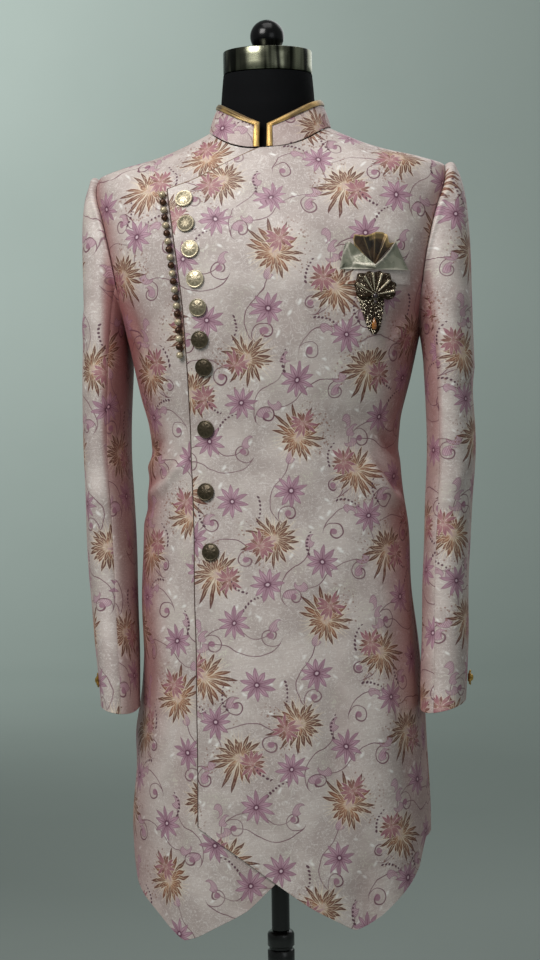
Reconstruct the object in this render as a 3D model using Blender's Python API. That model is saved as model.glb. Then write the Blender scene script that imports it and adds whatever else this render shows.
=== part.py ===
"""Knee-length sherwani coat with an asymmetric buttoned front, standing on a
limbless dress form with a pole and a round base.

Metres, +Z up.  The coat's front faces -Y, the wearer's left side is +X.
The origin is on the floor, under the middle of the base.
"""
import math

import bmesh
import bpy
import numpy as np
from mathutils import Matrix, Vector

for old in list(bpy.data.objects):
    bpy.data.objects.remove(old, do_unlink=True)

# ------------------------------------------------------------------ sizes
CLOTH = 0.0016            # wall of the coat's panels
LAP_GAP = 0.0016          # air between the under front and the over front
SEAM = 0.0003             # half of it comes off each panel's edge
SLEEVE_WALL = 0.0016
COLLAR_WALL = 0.0022
TRIM_GAP = 0.0008         # what lies on a panel keeps this to it

ARMPIT_Z = 1.235
SHOULDER_Z = 1.437
ARMHOLE_SPREAD = math.radians(21.0)   # half opening of the armhole, as an angle
ARMHOLE_STEPS = 8

NECK_FRONT_Z = 1.4625     # neckline height at centre front, side and back
NECK_SIDE_Z = 1.4925
NECK_BACK_Z = 1.5000

HEM_SIDE_LEFT_Z = 0.602   # hem height at the wearer's left and right side seams
HEM_SIDE_RIGHT_Z = 0.586
UNDER_EDGE_X = 0.035      # the under front's hidden edge lies this far past centre

COAT_SHIFT = 0.0025       # the coat sits this far towards the wearer's left
SHOULDER_LEAN = 0.018     # the left shoulder sits a little higher than the right
SLEEVE_SHIFT = 0.003      # and both sleeves hang this much farther that way
TUCK = 0.006              # the right cuff hangs this much closer and farther forward
SLEEVE_TOP_Z = 1.190      # the sleeve head ends here and the tube begins
CUFF_Z = 0.767

BUTTON_R = 0.0110
BUTTON_H = 0.0044
BEAD_R = 0.0040
BEAD_PITCH = 0.0099
BEAD_COUNT = 21
BEAD_TOP_Z = 1.4060
CUFF_BUTTON_R = 0.0092
CUFF_BUTTON_Z = 0.794
PIPING_R = 0.0008
BINDING_W = 0.0052
BINDING_T = 0.0009

FORM_CLEAR = 0.007        # the form is this much smaller than the coat
FORM_BOTTOM_Z = 0.800
NECK_TOP_Z = 1.5615
CAP_R, CAP_Z0, CAP_Z1 = 0.0560, 1.5620, 1.5910
KNOB_R = 0.0215
POLE_R = 0.0115
COLLAR_R, COLLAR_Z0, COLLAR_Z1 = 0.0172, 0.430, 0.474
TUBE_R = 0.0140
BASE_R, BASE_H = 0.170, 0.018

# The coat's level sections.
# columns: height, half width, depth to the front, depth to the back, squareness
BODY = [
    (0.460, 0.186, 0.141, 0.131, 2.25),
    (0.583, 0.187, 0.141, 0.132, 2.25),
    (0.664, 0.188, 0.139, 0.133, 2.25),
    (0.746, 0.186, 0.136, 0.134, 2.25),
    (0.867, 0.177, 0.128, 0.132, 2.25),
    (0.969, 0.168, 0.120, 0.125, 2.25),
    (1.030, 0.165, 0.115, 0.114, 2.25),
    (1.070, 0.160, 0.112, 0.108, 2.25),
    (1.091, 0.156, 0.112, 0.106, 2.25),
    (1.120, 0.159, 0.114, 0.107, 2.25),
    (1.152, 0.166, 0.118, 0.110, 2.30),
    (1.193, 0.174, 0.123, 0.115, 2.35),
    (1.235, 0.184, 0.127, 0.119, 2.45),
    (1.285, 0.197, 0.128, 0.123, 2.55),
    (1.345, 0.210, 0.121, 0.125, 2.60),
    (1.385, 0.218, 0.108, 0.120, 2.55),
    (1.415, 0.223, 0.094, 0.109, 2.50),
    (1.437, 0.218, 0.082, 0.097, 2.40),
    (1.447, 0.192, 0.076, 0.091, 2.30),
    (1.458, 0.152, 0.070, 0.084, 2.15),
    (1.469, 0.120, 0.067, 0.079, 2.05),
    (1.479, 0.097, 0.064, 0.075, 2.00),
    (1.486, 0.082, 0.062, 0.072, 2.00),
    (1.494, 0.069, 0.060, 0.069, 2.00),
    (1.520, 0.065, 0.059, 0.067, 2.00),
]

# The sleeve's level sections below the head.
# columns: height, distance out, distance back, half width, half depth
SLEEVE = [
    (0.767, 0.2040, -0.046, 0.0230, 0.053),
    (0.805, 0.2058, -0.038, 0.0238, 0.055),
    (0.860, 0.2085, -0.027, 0.0255, 0.059),
    (0.930, 0.2110, -0.016, 0.0270, 0.063),
    (1.000, 0.2140, -0.008, 0.0278, 0.067),
    (1.100, 0.2165, 0.000, 0.0282, 0.072),
    (1.190, 0.2160, 0.002, 0.0285, 0.075),
]

# The over front's slanting edge, from the hem up.  columns: height, x
FLAP_EDGE = [
    (0.6305, -0.0838),
    (0.7870, -0.0848),
    (0.9090, -0.0855),
    (1.0310, -0.0873),
    (1.0920, -0.0892),
    (1.1780, -0.0900),
    (1.2390, -0.0926),
    (1.3240, -0.1010),
    (1.4130, -0.1155),
]

# The over front's upper edge, from the collar opening out.  columns: x, height
FLAP_TOP = [
    (-0.0035, 1.4623),
    (-0.0366, 1.4465),
    (-0.0890, 1.4210),
    (-0.1155, 1.4130),
]

# Pointed hems.  columns: x, height
OVER_HEM = [
    (-0.0840, 0.6305),
    (-0.0380, 0.5990),
    (0.0085, 0.5655),
    (0.0530, 0.5345),
    (0.0830, 0.5165),
    (0.1050, 0.5045),
    (0.1190, 0.5090),
    (0.1360, 0.5190),
    (0.1530, 0.5355),
    (0.1700, 0.5540),
    (0.1800, 0.5690),
    (0.1870, 0.6020),
]
UNDER_HEM = [
    (-0.1870, 0.5860),
    (-0.1770, 0.5690),
    (-0.1715, 0.5515),
    (-0.1600, 0.5350),
    (-0.1440, 0.5190),
    (-0.1260, 0.5025),
    (-0.1060, 0.4900),
    (-0.0900, 0.4950),
    (-0.0655, 0.5085),
    (-0.0264, 0.5300),
    (0.0022, 0.5575),
    (0.0350, 0.5900),
]

# Front buttons.  columns: x, height
BUTTONS = [
    (-0.0940, 1.3990),
    (-0.0903, 1.3678),
    (-0.0845, 1.3368),
    (-0.0784, 1.3003),
    (-0.0752, 1.2657),
    (-0.0735, 1.2272),
    (-0.0695, 1.1937),
    (-0.0700, 1.1180),
    (-0.0712, 1.0400),
    (-0.0655, 0.9670),
]

# Breast pocket, pocket square and brooch on the wearer's left chest.
WELT_X0, WELT_X1, WELT_Z, WELT_DROP = 0.099, 0.177, 1.3080, 0.018
# columns: x, height of the square's upper edge
SQUARE_EDGE = [
    (0.1010, 1.3110),
    (0.1080, 1.3405),
    (0.1170, 1.3510),
    (0.1330, 1.3500),
    (0.1500, 1.3520),
    (0.1640, 1.3420),
    (0.1750, 1.3110),
]
BROOCH_X, BROOCH_Z = 0.1385, 1.2760
BROOCH_RAYS = 6
BROOCH_REACH = 0.0290
BROOCH_MESH_TOP, BROOCH_MESH_TIP = 0.0180, 1.2340

# The neck of the form above the shoulders.
# columns: height, half width, depth to the front, depth to the back
FORM_NECK = [
    (1.486, 0.0680, 0.0560, 0.0630),
    (1.500, 0.0610, 0.0565, 0.0605),
    (1.520, 0.0598, 0.0575, 0.0597),
    (1.545, 0.0578, 0.0570, 0.0575),
    (1.5615, 0.0562, 0.0560, 0.0560),
]
FORM_ARM_X = 0.192        # the form's arm ends are flat here


# ------------------------------------------------------------- small maths
def column(table, k):
    return [row[k] for row in table]


def smooth_read(xs, ys, x):
    """Monotone cubic through a short table."""
    xs, ys = np.asarray(xs, float), np.asarray(ys, float)
    h, m = np.diff(xs), np.zeros(len(xs))
    d = np.diff(ys) / h
    for i in range(1, len(xs) - 1):
        if d[i - 1] * d[i] > 0:
            w1, w2 = 2 * h[i] + h[i - 1], h[i] + 2 * h[i - 1]
            m[i] = (w1 + w2) / (w1 / d[i - 1] + w2 / d[i])
    m[0], m[-1] = d[0], d[-1]
    x = min(max(x, xs[0]), xs[-1])
    i = min(max(int(np.searchsorted(xs, x, side="right")) - 1, 0), len(xs) - 2)
    s = (x - xs[i]) / h[i]
    return float((1 + 2 * s) * (1 - s) ** 2 * ys[i] + s * (1 - s) ** 2 * h[i] * m[i]
                 + s * s * (3 - 2 * s) * ys[i + 1] + s * s * (s - 1) * h[i] * m[i + 1])


def straight_read(xs, ys, x):
    return float(np.interp(x, xs, ys))


def ease(t):
    t = min(max(t, 0.0), 1.0)
    return t * t * (3 - 2 * t)


def power(c, e):
    return math.copysign(abs(c) ** e, c)


def unit(v):
    v = np.asarray(v, float)
    return v / max(np.linalg.norm(v), 1e-12)


BODY_Z = column(BODY, 0)


def body_section(z):
    return [smooth_read(BODY_Z, column(BODY, k), z) for k in (1, 2, 3, 4)]


def sleeve_dent(angle, z):
    """The skirt gives way a little where a hanging cuff lies against it."""
    a = math.degrees(angle)
    give = 0.0
    for middle, depth in ((-20.0, 0.005), (-160.0, 0.014)):
        off = (a - middle + 180.0) % 360.0 - 180.0
        give += depth * math.exp(-(off / 28.0) ** 2) * math.exp(-((z - 0.785) / 0.095) ** 2)
    return give


def body_point(angle, z):
    """Inner face of the coat.  angle 0 is the wearer's left, -90 deg the front."""
    a, bf, bb, n = body_section(z)
    b = bf if math.sin(angle) < 0 else bb
    x = a * power(math.cos(angle), 2 / n)
    y = b * power(math.sin(angle), 2 / n)
    x -= math.copysign(sleeve_dent(angle, z), math.cos(angle))
    lean = SHOULDER_LEAN * x * ease((z - 1.25) / 0.15)
    return np.array((x + COAT_SHIFT, y, z + lean))


def body_normal(angle, z):
    da, dz = math.radians(2.0), 0.004
    du = body_point(angle + da, z) - body_point(angle - da, z)
    dv = body_point(angle, z + dz) - body_point(angle, z - dz)
    return unit(np.cross(du, dv))


def front_angle(x, z):
    """Angle of the front's point at a given x and height."""
    a, bf, bb, n = body_section(z)
    x = x - COAT_SHIFT
    c = min(abs(x) / a, 1.0) ** (n / 2)
    t = math.acos(min(c, 1.0))
    return -t if x >= 0 else -(math.pi - t)


NECK_HALF = body_section(NECK_SIDE_Z)[0]


def neckline(turn):
    """(angle, height) on the coat of the neckline's point at a turn round the
    neck; 0 is the wearer's left, -90 deg the front."""
    front = math.sin(turn) < 0
    low = NECK_FRONT_Z if front else NECK_BACK_Z
    z = low + (NECK_SIDE_Z - low) * math.cos(turn) ** 2
    a, bf, bb, n = body_section(z)
    t = math.acos(min(NECK_HALF * abs(math.cos(turn)) / a, 1.0) ** (n / 2))
    if math.cos(turn) < 0:
        t = math.pi - t
    return (-t if front else t, z)


# ------------------------------------------------------------ mesh helpers
def material(name, color, rough, metal=0.0):
    mat = bpy.data.materials.new(name)
    mat.use_nodes = True
    shader = mat.node_tree.nodes["Principled BSDF"]
    shader.inputs["Base Color"].default_value = (*color, 1.0)
    shader.inputs["Roughness"].default_value = rough
    shader.inputs["Metallic"].default_value = metal
    return mat


BROCADE = material("brocade", (0.74, 0.56, 0.55), 0.55)
SATIN_TRIM = material("satin_trim", (0.36, 0.19, 0.07), 0.35)
PIPING = material("piping", (0.10, 0.035, 0.025), 0.50)
BRASS = material("brass_buttons", (0.45, 0.30, 0.15), 0.35, 1.0)
GOLD = material("gold_brooch", (0.62, 0.42, 0.18), 0.30, 1.0)
SQUARE = material("pocket_square", (0.66, 0.60, 0.45), 0.35)
FORM = material("form_black", (0.012, 0.012, 0.013), 0.60)
CHROME = material("chrome", (0.75, 0.75, 0.74), 0.10, 1.0)
GLOSS = material("gloss_black", (0.010, 0.010, 0.010), 0.15)


def solid(name, verts, faces, mat, smooth=True):
    mesh = bpy.data.meshes.new(name)
    mesh.from_pydata([tuple(map(float, v)) for v in verts], [], faces)
    bm = bmesh.new()
    bm.from_mesh(mesh)
    bmesh.ops.recalc_face_normals(bm, faces=bm.faces)
    if bm.calc_volume(signed=True) < 0:
        bmesh.ops.reverse_faces(bm, faces=bm.faces)
    bmesh.ops.triangulate(bm, faces=bm.faces)
    bm.to_mesh(mesh)
    bm.free()
    if smooth:
        mesh.shade_smooth()
        mesh.set_sharp_from_angle(angle=math.radians(40))
    mesh.materials.append(mat)
    obj = bpy.data.objects.new(name, mesh)
    bpy.context.scene.collection.objects.link(obj)
    return obj


def wall(name, inner, outer, mat):
    """Closed shell between two grids of points with the same rows and columns."""
    rows, cols = len(inner), len(inner[0])
    verts = [p for row in inner for p in row] + [p for row in outer for p in row]
    step = rows * cols

    def at(r, c, side):
        return side * step + r * cols + c

    faces = []
    for r in range(rows - 1):
        for c in range(cols - 1):
            for side in (0, 1):
                q = [at(r, c, side), at(r, c + 1, side), at(r + 1, c + 1, side), at(r + 1, c, side)]
                if side:
                    q.reverse()
                faces.append([q[0], q[1], q[2]] if not side else [q[3], q[1], q[2]])
                faces.append([q[0], q[2], q[3]] if not side else [q[0], q[1], q[3]])
    for r in range(rows - 1):
        for c in (0, cols - 1):
            faces.append([at(r, c, 0), at(r + 1, c, 0), at(r + 1, c, 1), at(r, c, 1)])
    for c in range(cols - 1):
        for r in (0, rows - 1):
            faces.append([at(r, c, 0), at(r, c + 1, 0), at(r, c + 1, 1), at(r, c, 1)])
    return solid(name, verts, faces, mat)


def trim_edges(grid, amount):
    """Pull the outline of a grid of points towards its inside."""
    g = [[np.array(p, float) for p in row] for row in grid]
    rows, cols = len(g), len(g[0])
    out = [[p.copy() for p in row] for row in g]
    for r in range(rows):
        out[r][0] += amount * unit(g[r][1] - g[r][0])
        out[r][-1] += amount * unit(g[r][-2] - g[r][-1])
    for c in range(cols):
        out[0][c] += amount * unit(g[1][c] - g[0][c])
        out[-1][c] += amount * unit(g[-2][c] - g[-1][c])
    return out


def lathe(name, profile, mat, segs=24, matrix=None):
    """Turned piece: profile rows are (radius, height), both ends on the axis."""
    verts, faces, rings = [], [], []
    for rad, h in profile:
        if rad < 1e-9:
            rings.append([len(verts)])
            verts.append((0.0, 0.0, h))
        else:
            rings.append(list(range(len(verts), len(verts) + segs)))
            verts += [(rad * math.cos(2 * math.pi * i / segs), rad * math.sin(2 * math.pi * i / segs), h)
                      for i in range(segs)]
    for lo, hi in zip(rings, rings[1:]):
        for i in range(segs):
            j = (i + 1) % segs
            if len(lo) == 1:
                faces.append([lo[0], hi[i], hi[j]])
            elif len(hi) == 1:
                faces.append([lo[i], lo[j], hi[0]])
            else:
                faces.append([lo[i], lo[j], hi[j], hi[i]])
    if matrix is not None:
        verts = [tuple(matrix @ Vector(v)) for v in verts]
    return solid(name, verts, faces, mat)


def stand_on(point, normal):
    """Matrix that puts a turned piece's axis along a surface's normal."""
    turn = Vector((0, 0, 1)).rotation_difference(Vector(normal)).to_matrix().to_4x4()
    return Matrix.Translation(Vector(point)) @ turn


def tube(name, path, radius, mat, sides=6):
    pts = [np.array(p, float) for p in path]
    verts, faces = [], []
    for i, p in enumerate(pts):
        along = unit(pts[min(i + 1, len(pts) - 1)] - pts[max(i - 1, 0)])
        side = unit(np.cross(along, (0.0, 1.0, 0.001)))
        up = np.cross(along, side)
        for k in range(sides):
            t = 2 * math.pi * k / sides
            verts.append(p + radius * (math.cos(t) * side + math.sin(t) * up))
    for i in range(len(pts) - 1):
        for k in range(sides):
            m = (k + 1) % sides
            faces.append([i * sides + k, i * sides + m, (i + 1) * sides + m, (i + 1) * sides + k])
    faces.append(list(range(sides)))
    faces.append([(len(pts) - 1) * sides + k for k in range(sides)])
    return solid(name, verts, faces, mat)


# ------------------------------------------------------------- coat panels
BODY_ROWS, RIDGE_ROWS = 13, 6


def side_line(side, front, hem):
    """Side seam, armhole and shoulder seam of one panel, hem to neck point,
    as (angle, height) rows.  side is +1 for the wearer's left."""
    rows = [(0.0, hem + (ARMPIT_Z - hem) * i / BODY_ROWS) for i in range(BODY_ROWS)]
    mid, half = (ARMPIT_Z + SHOULDER_Z) / 2, (SHOULDER_Z - ARMPIT_Z) / 2
    for k in range(ARMHOLE_STEPS + 1):
        t = math.pi * (1 - k / ARMHOLE_STEPS)
        rows.append((ARMHOLE_SPREAD * math.sin(t), mid + half * math.cos(t)))
    for i in range(1, RIDGE_ROWS + 1):
        s = i / RIDGE_ROWS
        rows.append((0.0, SHOULDER_Z + (NECK_SIDE_Z - SHOULDER_Z) * s))
    sign = -1.0 if front else 1.0
    if side > 0:
        return [(sign * a, z) for a, z in rows]
    return [(-math.pi - sign * a if front else math.pi - sign * a, z) for a, z in rows]


def panel_grid(seam, edge, hem, top, cols, spread=4):
    """Rows of (angle, height).  seam: side line rows.  edge: function of 0..1
    up the other edge.  hem and top: functions of 0..1 from seam to edge."""
    z0, z1 = seam[0][1], seam[-1][1]
    grid = []
    for angle, z in seam:
        w = (z - z0) / (z1 - z0)
        row = []
        for c in range(cols + 1):
            f = c / cols
            e = np.array(edge(w))
            p = (1 - f) * np.array((angle, z)) + f * e
            low = np.array(hem(f)) - ((1 - f) * np.array(hem(0)) + f * np.array(hem(1)))
            high = np.array(top(f)) - ((1 - f) * np.array(top(0)) + f * np.array(top(1)))
            p = p + low * np.array(((1 - w) ** spread, (1 - w) ** 2.2))
            p = p + high * np.array((w ** (spread + 4), w ** 6))
            row.append(p)
        grid.append(row)
    return grid


def build_panel(name, grid, lift=None):
    inner, outer = [], []
    for row in grid:
        ri, ro = [], []
        for angle, z in row:
            p, n = body_point(angle, z), body_normal(angle, z)
            up = lift(p) if lift else 0.0
            ri.append(p + n * up)
            ro.append(p + n * (up + CLOTH))
        inner.append(ri)
        outer.append(ro)
    inner, outer = trim_edges(inner, SEAM * 0.7), trim_edges(outer, SEAM * 0.7)
    wall(name, inner, outer, BROCADE)
    return inner, outer


def hidden_edge_x(z):
    """Under front's inner edge: from the collar opening out to its straight run."""
    return straight_read((1.400, 1.4625), (UNDER_EDGE_X, 0.004), z)


def lap_lift(p):
    """How far the over front stands off where the under front lies below it."""
    start = hidden_edge_x(p[2]) + 0.010
    return (CLOTH + LAP_GAP) * (1 - ease((p[0] - start) / 0.045))


hem_over_x, hem_over_z = column(OVER_HEM, 0), column(OVER_HEM, 1)
hem_under_x, hem_under_z = column(UNDER_HEM, 0), column(UNDER_HEM, 1)
flap_z, flap_x = column(FLAP_EDGE, 0), column(FLAP_EDGE, 1)
OVER_COLS, NECK_COLS = 17, 8    # the over front's columns, and those that end on the neckline
NECK_SPLIT = NECK_COLS / OVER_COLS
OPENING_LEFT = -math.pi / 2 - 0.006 / NECK_HALF     # the collar opening, as turns round the neck
OPENING_RIGHT = -math.pi / 2 + 0.0015 / NECK_HALF


def on_front(x, z):
    return (front_angle(x, z), z)


def over_hem(f):
    a0, a1 = 0.0, front_angle(hem_over_x[0], hem_over_z[0])
    angle = a0 + (a1 - a0) * f
    z = 0.55
    for _ in range(6):
        x = body_point(angle, z)[0]
        z = straight_read(hem_over_x, hem_over_z, min(x, hem_over_x[-1])) if f > 0 else HEM_SIDE_LEFT_Z
    return (angle, z)


def over_edge(w):
    z = flap_z[0] + (flap_z[-1] - flap_z[0]) * w
    return on_front(smooth_read(flap_z, flap_x, z), z)


def over_top(f):
    if f <= NECK_SPLIT:
        return neckline(OPENING_LEFT * f / NECK_SPLIT)
    x = FLAP_TOP[0][0] + (FLAP_TOP[-1][0] - FLAP_TOP[0][0]) * (f - NECK_SPLIT) / (1 - NECK_SPLIT)
    z = straight_read([-p[0] for p in FLAP_TOP], [p[1] for p in FLAP_TOP], -x)
    return on_front(x, z)


def under_hem(f):
    a0, a1 = -math.pi, front_angle(UNDER_EDGE_X, hem_under_z[-1])
    angle = a0 + (a1 - a0) * f
    z = 0.55
    for _ in range(6):
        x = body_point(angle, z)[0]
        z = straight_read(hem_under_x, hem_under_z, x) if f > 0 else HEM_SIDE_RIGHT_Z
    return (angle, z)


def under_edge(w):
    z = hem_under_z[-1] + (NECK_FRONT_Z - hem_under_z[-1]) * w
    return on_front(hidden_edge_x(z), z)


def under_top(f):
    angle, z = neckline(-math.pi + (OPENING_RIGHT + math.pi) * f)
    return (angle, z)


def back_hem(side):
    z_side = HEM_SIDE_LEFT_Z if side > 0 else HEM_SIDE_RIGHT_Z
    z_mid = (HEM_SIDE_LEFT_Z + HEM_SIDE_RIGHT_Z) / 2

    def hem(f):
        angle = math.pi / 2 * f if side > 0 else math.pi - math.pi / 2 * f
        return (angle, z_side + (z_mid - z_side) * ease(f))
    return hem


def back_edge(w):
    z_mid = (HEM_SIDE_LEFT_Z + HEM_SIDE_RIGHT_Z) / 2
    return (math.pi / 2, z_mid + (NECK_BACK_Z - z_mid) * w)


def back_top(side):
    def top(f):
        return neckline(math.pi / 2 * f if side > 0 else math.pi - math.pi / 2 * f)
    return top


left_seam = side_line(+1, True, HEM_SIDE_LEFT_Z)
right_seam = side_line(-1, True, HEM_SIDE_RIGHT_Z)
over_grid = panel_grid(left_seam, over_edge, over_hem, over_top, OVER_COLS)
under_grid = panel_grid(right_seam, under_edge, under_hem, under_top, 12)
over_in, over_out = build_panel("front_left", over_grid, lap_lift)
under_in, under_out = build_panel("front_right", under_grid)
for side, name in ((+1, "back_left"), (-1, "back_right")):
    seam = side_line(side, False, HEM_SIDE_LEFT_Z if side > 0 else HEM_SIDE_RIGHT_Z)
    build_panel(name, panel_grid(seam, back_edge, back_hem(side), back_top(side), 8))

# ----------------------------------------------------------------- sleeves
SLEEVE_Z = column(SLEEVE, 0)
HEAD_ROWS, TUBE_ROWS = 6, 10
RING = 2 * ARMHOLE_STEPS


def armhole_point(k, side):
    """k 0 is the shoulder, RING/4 the front, RING/2 the armpit."""
    t = 2 * math.pi * k / RING
    mid, half = (ARMPIT_Z + SHOULDER_Z) / 2, (SHOULDER_Z - ARMPIT_Z) / 2
    angle = -ARMHOLE_SPREAD * math.sin(t)
    return body_point(angle if side > 0 else math.pi - angle, mid + half * math.cos(t))


def tube_point(k, z, side):
    out, back, wx, wy = [smooth_read(SLEEVE_Z, column(SLEEVE, i), z) for i in (1, 2, 3, 4)]
    t = 2 * math.pi * k / RING
    if side < 0:
        tuck = ease((0.95 - z) / 0.18)
        out, back, wx = out - TUCK * tuck, back - 2 * TUCK * tuck, wx * (1 - 0.14 * tuck)
    x = out + wx * power(math.cos(t), 2 / 2.2)
    y = back - wy * power(math.sin(t), 2 / 2.2)
    tilt = 0.06 * (y - back) * ease((0.84 - z) / 0.07)
    return np.array((side * x + COAT_SHIFT + SLEEVE_SHIFT, y, z + tilt))


def sleeve_point(k, s, side):
    """s 0..1 down the head, 1..2 down the tube."""
    k = k % RING
    t = 2 * math.pi * k / RING
    if s >= 1.0:
        return tube_point(k, SLEEVE_TOP_Z + (CUFF_Z - SLEEVE_TOP_Z) * (s - 1.0), side)
    out = unit((0.86 * side, -0.35 * math.sin(t), 0.42 * max(math.cos(t), 0.0) - 0.10 * max(-math.cos(t), 0)))
    p0 = armhole_point(k, side) + 0.0025 * out
    p3 = tube_point(k, SLEEVE_TOP_Z, side)
    high = 0.5 + 0.5 * math.cos(t)
    p1 = p0 + (0.002 + 0.024 * high ** 2) * out
    p2 = p3 + np.array((-0.006 * side * high, 0.0, 0.012 + 0.125 * high))
    return ((1 - s) ** 3 * p0 + 3 * s * (1 - s) ** 2 * p1 + 3 * s * s * (1 - s) * p2 + s ** 3 * p3)


def sleeve_normal(k, s, side):
    du = sleeve_point(k + 0.5, s, side) - sleeve_point(k - 0.5, s, side)
    lo, hi = max(s - 0.05, 0.0), min(s + 0.05, 2.0)
    dv = sleeve_point(k, hi, side) - sleeve_point(k, lo, side)
    return side * unit(np.cross(du, dv))


def sleeve_piece(name, side, first, last):
    """Columns first..last of the sleeve, seams trimmed by the seam gap."""
    stations = [i / HEAD_ROWS for i in range(HEAD_ROWS)] + [1 + i / TUBE_ROWS for i in range(TUBE_ROWS + 1)]
    inner, outer = [], []
    for s in stations:
        ri, ro = [], []
        for k in range(first, last + 1):
            p, n = sleeve_point(k, s, side), sleeve_normal(k, s, side)
            ri.append(p)
            ro.append(p + SLEEVE_WALL * n)
        inner.append(ri)
        outer.append(ro)
    wall(name, trim_edges(inner, SEAM * 0.7), trim_edges(outer, SEAM * 0.7), BROCADE)


SEAM_FRONT, SEAM_BACK = 5, 11      # columns of the two sleeve seams
for side, word in ((+1, "left"), (-1, "right")):
    sleeve_piece("sleeve_%s_under" % word, side, SEAM_FRONT, SEAM_BACK)
    sleeve_piece("sleeve_%s_upper" % word, side, SEAM_BACK - RING, SEAM_FRONT)

# ------------------------------------------------------------------ collar
COLLAR_GAP_TOP, COLLAR_GAP_BOTTOM = 0.0066, 0.0058   # half widths of the front gap
COLLAR_GAP_OFF = 0.0025   # and its middle's distance to the wearer's right
COLLAR_COLS = 26


def collar_ends(v):
    """Angles of the collar's two front edges at v 0..1 up the band."""
    half = COLLAR_GAP_BOTTOM + (COLLAR_GAP_TOP - COLLAR_GAP_BOTTOM) * v
    return (-math.pi / 2 + (half - COLLAR_GAP_OFF) / 0.070,
            3 * math.pi / 2 - (half + COLLAR_GAP_OFF) / 0.070)


def collar_point(u, v, out=0.0):
    """u 0..1 round the neck from the left front edge, by the back, to the
    right front edge; v 0..1 up the band; out is along the outer normal."""
    def bare(u, v):
        a0, a1 = collar_ends(v)
        angle = a0 + (a1 - a0) * u
        foot = body_point(*neckline(angle))
        foot[2] += 0.0021
        front = max(-math.sin(angle), 0.0)
        back = max(math.sin(angle), 0.0)
        depth = 0.0625 if math.sin(angle) < 0 else 0.0650
        top_z = 1.5265 - 0.0320 * front ** 2 + 0.0115 * back ** 2
        head = np.array((COAT_SHIFT + 0.0628 * math.cos(angle), depth * math.sin(angle), top_z))
        bow = 0.0012 * math.sin(math.pi * min(max(v, 0.0), 1.0))
        p = foot + (head - foot) * v
        p[:2] += bow * unit((math.cos(angle), math.sin(angle)))
        return p
    p = bare(u, v)
    du = bare(u + 0.004, v) - bare(u - 0.004, v)
    dv = bare(u, v + 0.05) - bare(u, v - 0.05)
    return p + out * unit(np.cross(du, dv))


rows = 3
inner = [[collar_point(c / COLLAR_COLS, r / rows) for c in range(COLLAR_COLS + 1)] for r in range(rows + 1)]
outer = [[collar_point(c / COLLAR_COLS, r / rows, COLLAR_WALL) for c in range(COLLAR_COLS + 1)]
         for r in range(rows + 1)]
wall("collar", inner, outer, BROCADE)

# Satin binding: an angle strip over the band's top edge and down both fronts.
COLLAR_LEN, COLLAR_TALL = 0.415, 0.0325
strip = [(BINDING_W, COLLAR_WALL + TRIM_GAP), (-TRIM_GAP, COLLAR_WALL + TRIM_GAP), (-TRIM_GAP, 0.0),
         (-TRIM_GAP - BINDING_T, 0.0), (-TRIM_GAP - BINDING_T, COLLAR_WALL + TRIM_GAP + BINDING_T),
         (BINDING_W, COLLAR_WALL + TRIM_GAP + BINDING_T)]
stations = []
for i in range(3):
    stations.append(("left", i / 3 * (1 - 1 / 3)))
stations.append(("corner_left", 0))
stations += [("top", c / COLLAR_COLS) for c in range(1, COLLAR_COLS)]
stations.append(("corner_right", 0))
for i in range(3):
    stations.append(("right", (2 - i) / 3 * (1 - 1 / 3)))
verts, faces = [], []
for kind, t in stations:
    for m, n in strip:
        du, dv = m / COLLAR_LEN, m / COLLAR_TALL
        if kind == "left":
            u, v = du, t
        elif kind == "right":
            u, v = 1 - du, t
        elif kind == "corner_left":
            u, v = du, 1 - dv
        elif kind == "corner_right":
            u, v = 1 - du, 1 - dv
        else:
            u, v = t, 1 - dv
        verts.append(collar_point(u, v, n))
w = len(strip)
for i in range(len(stations) - 1):
    for k in range(w):
        m = (k + 1) % w
        faces.append([i * w + k, i * w + m, (i + 1) * w + m, (i + 1) * w + k])
for base in (0, (len(stations) - 1) * w):
    faces.append([base, base + 1, base + 4, base + 5])
    faces.append([base + 1, base + 2, base + 3, base + 4])
solid("collar_binding", verts, faces, SATIN_TRIM)

# ------------------------------------------------------- piping and beads
mid_grid = [[(np.array(a) + np.array(b)) / 2 for a, b in zip(ra, rb)] for ra, rb in zip(over_in, over_out)]
step_out = PIPING_R + 0.0004
path = []
first_row, last_row = 0, len(mid_grid) - 1
for r in range(first_row, last_row):
    path.append(mid_grid[r][-1] + step_out * unit(mid_grid[r][-1] - mid_grid[r][-2]))
corner = mid_grid[-1][-1]
path.append(corner + step_out * 1.35 * unit(unit(corner - mid_grid[-1][-2]) + unit(corner - mid_grid[-2][-1])))
half_cols = OVER_COLS - NECK_COLS
for c in range(1, half_cols):
    p = mid_grid[-1][-1 - c]
    path.append(p + step_out * unit(p - mid_grid[-2][-1 - c]))
tube("flap_piping", path, PIPING_R, PIPING)

edge_pts = np.array([row[-1] for row in mid_grid])


def edge_at(z):
    return np.array([np.interp(z, edge_pts[:, 2], edge_pts[:, i]) for i in range(3)])


z = BEAD_TOP_Z
for i in range(BEAD_COUNT):
    x_edge = edge_at(z)[0]
    away = 2 * PIPING_R + 0.0008 + BEAD_R
    angle = front_angle(x_edge - away / 0.94, z)
    n = body_normal(angle, z)
    centre = body_point(angle, z) + n * (CLOTH + 0.0008 + BEAD_R)
    profile = [(0.0, -BEAD_R)]
    for j in range(1, 5):
        t = math.pi * j / 5
        profile.append((BEAD_R * math.sin(t), -BEAD_R * math.cos(t)))
    profile.append((0.0, BEAD_R))
    lathe("bead_%02d" % (i + 1), profile, BRASS, 9, stand_on(centre, n))
    slope = (edge_at(z - 0.01)[0] - x_edge) / 0.01
    z -= BEAD_PITCH / math.sqrt(1 + slope * slope)

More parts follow.
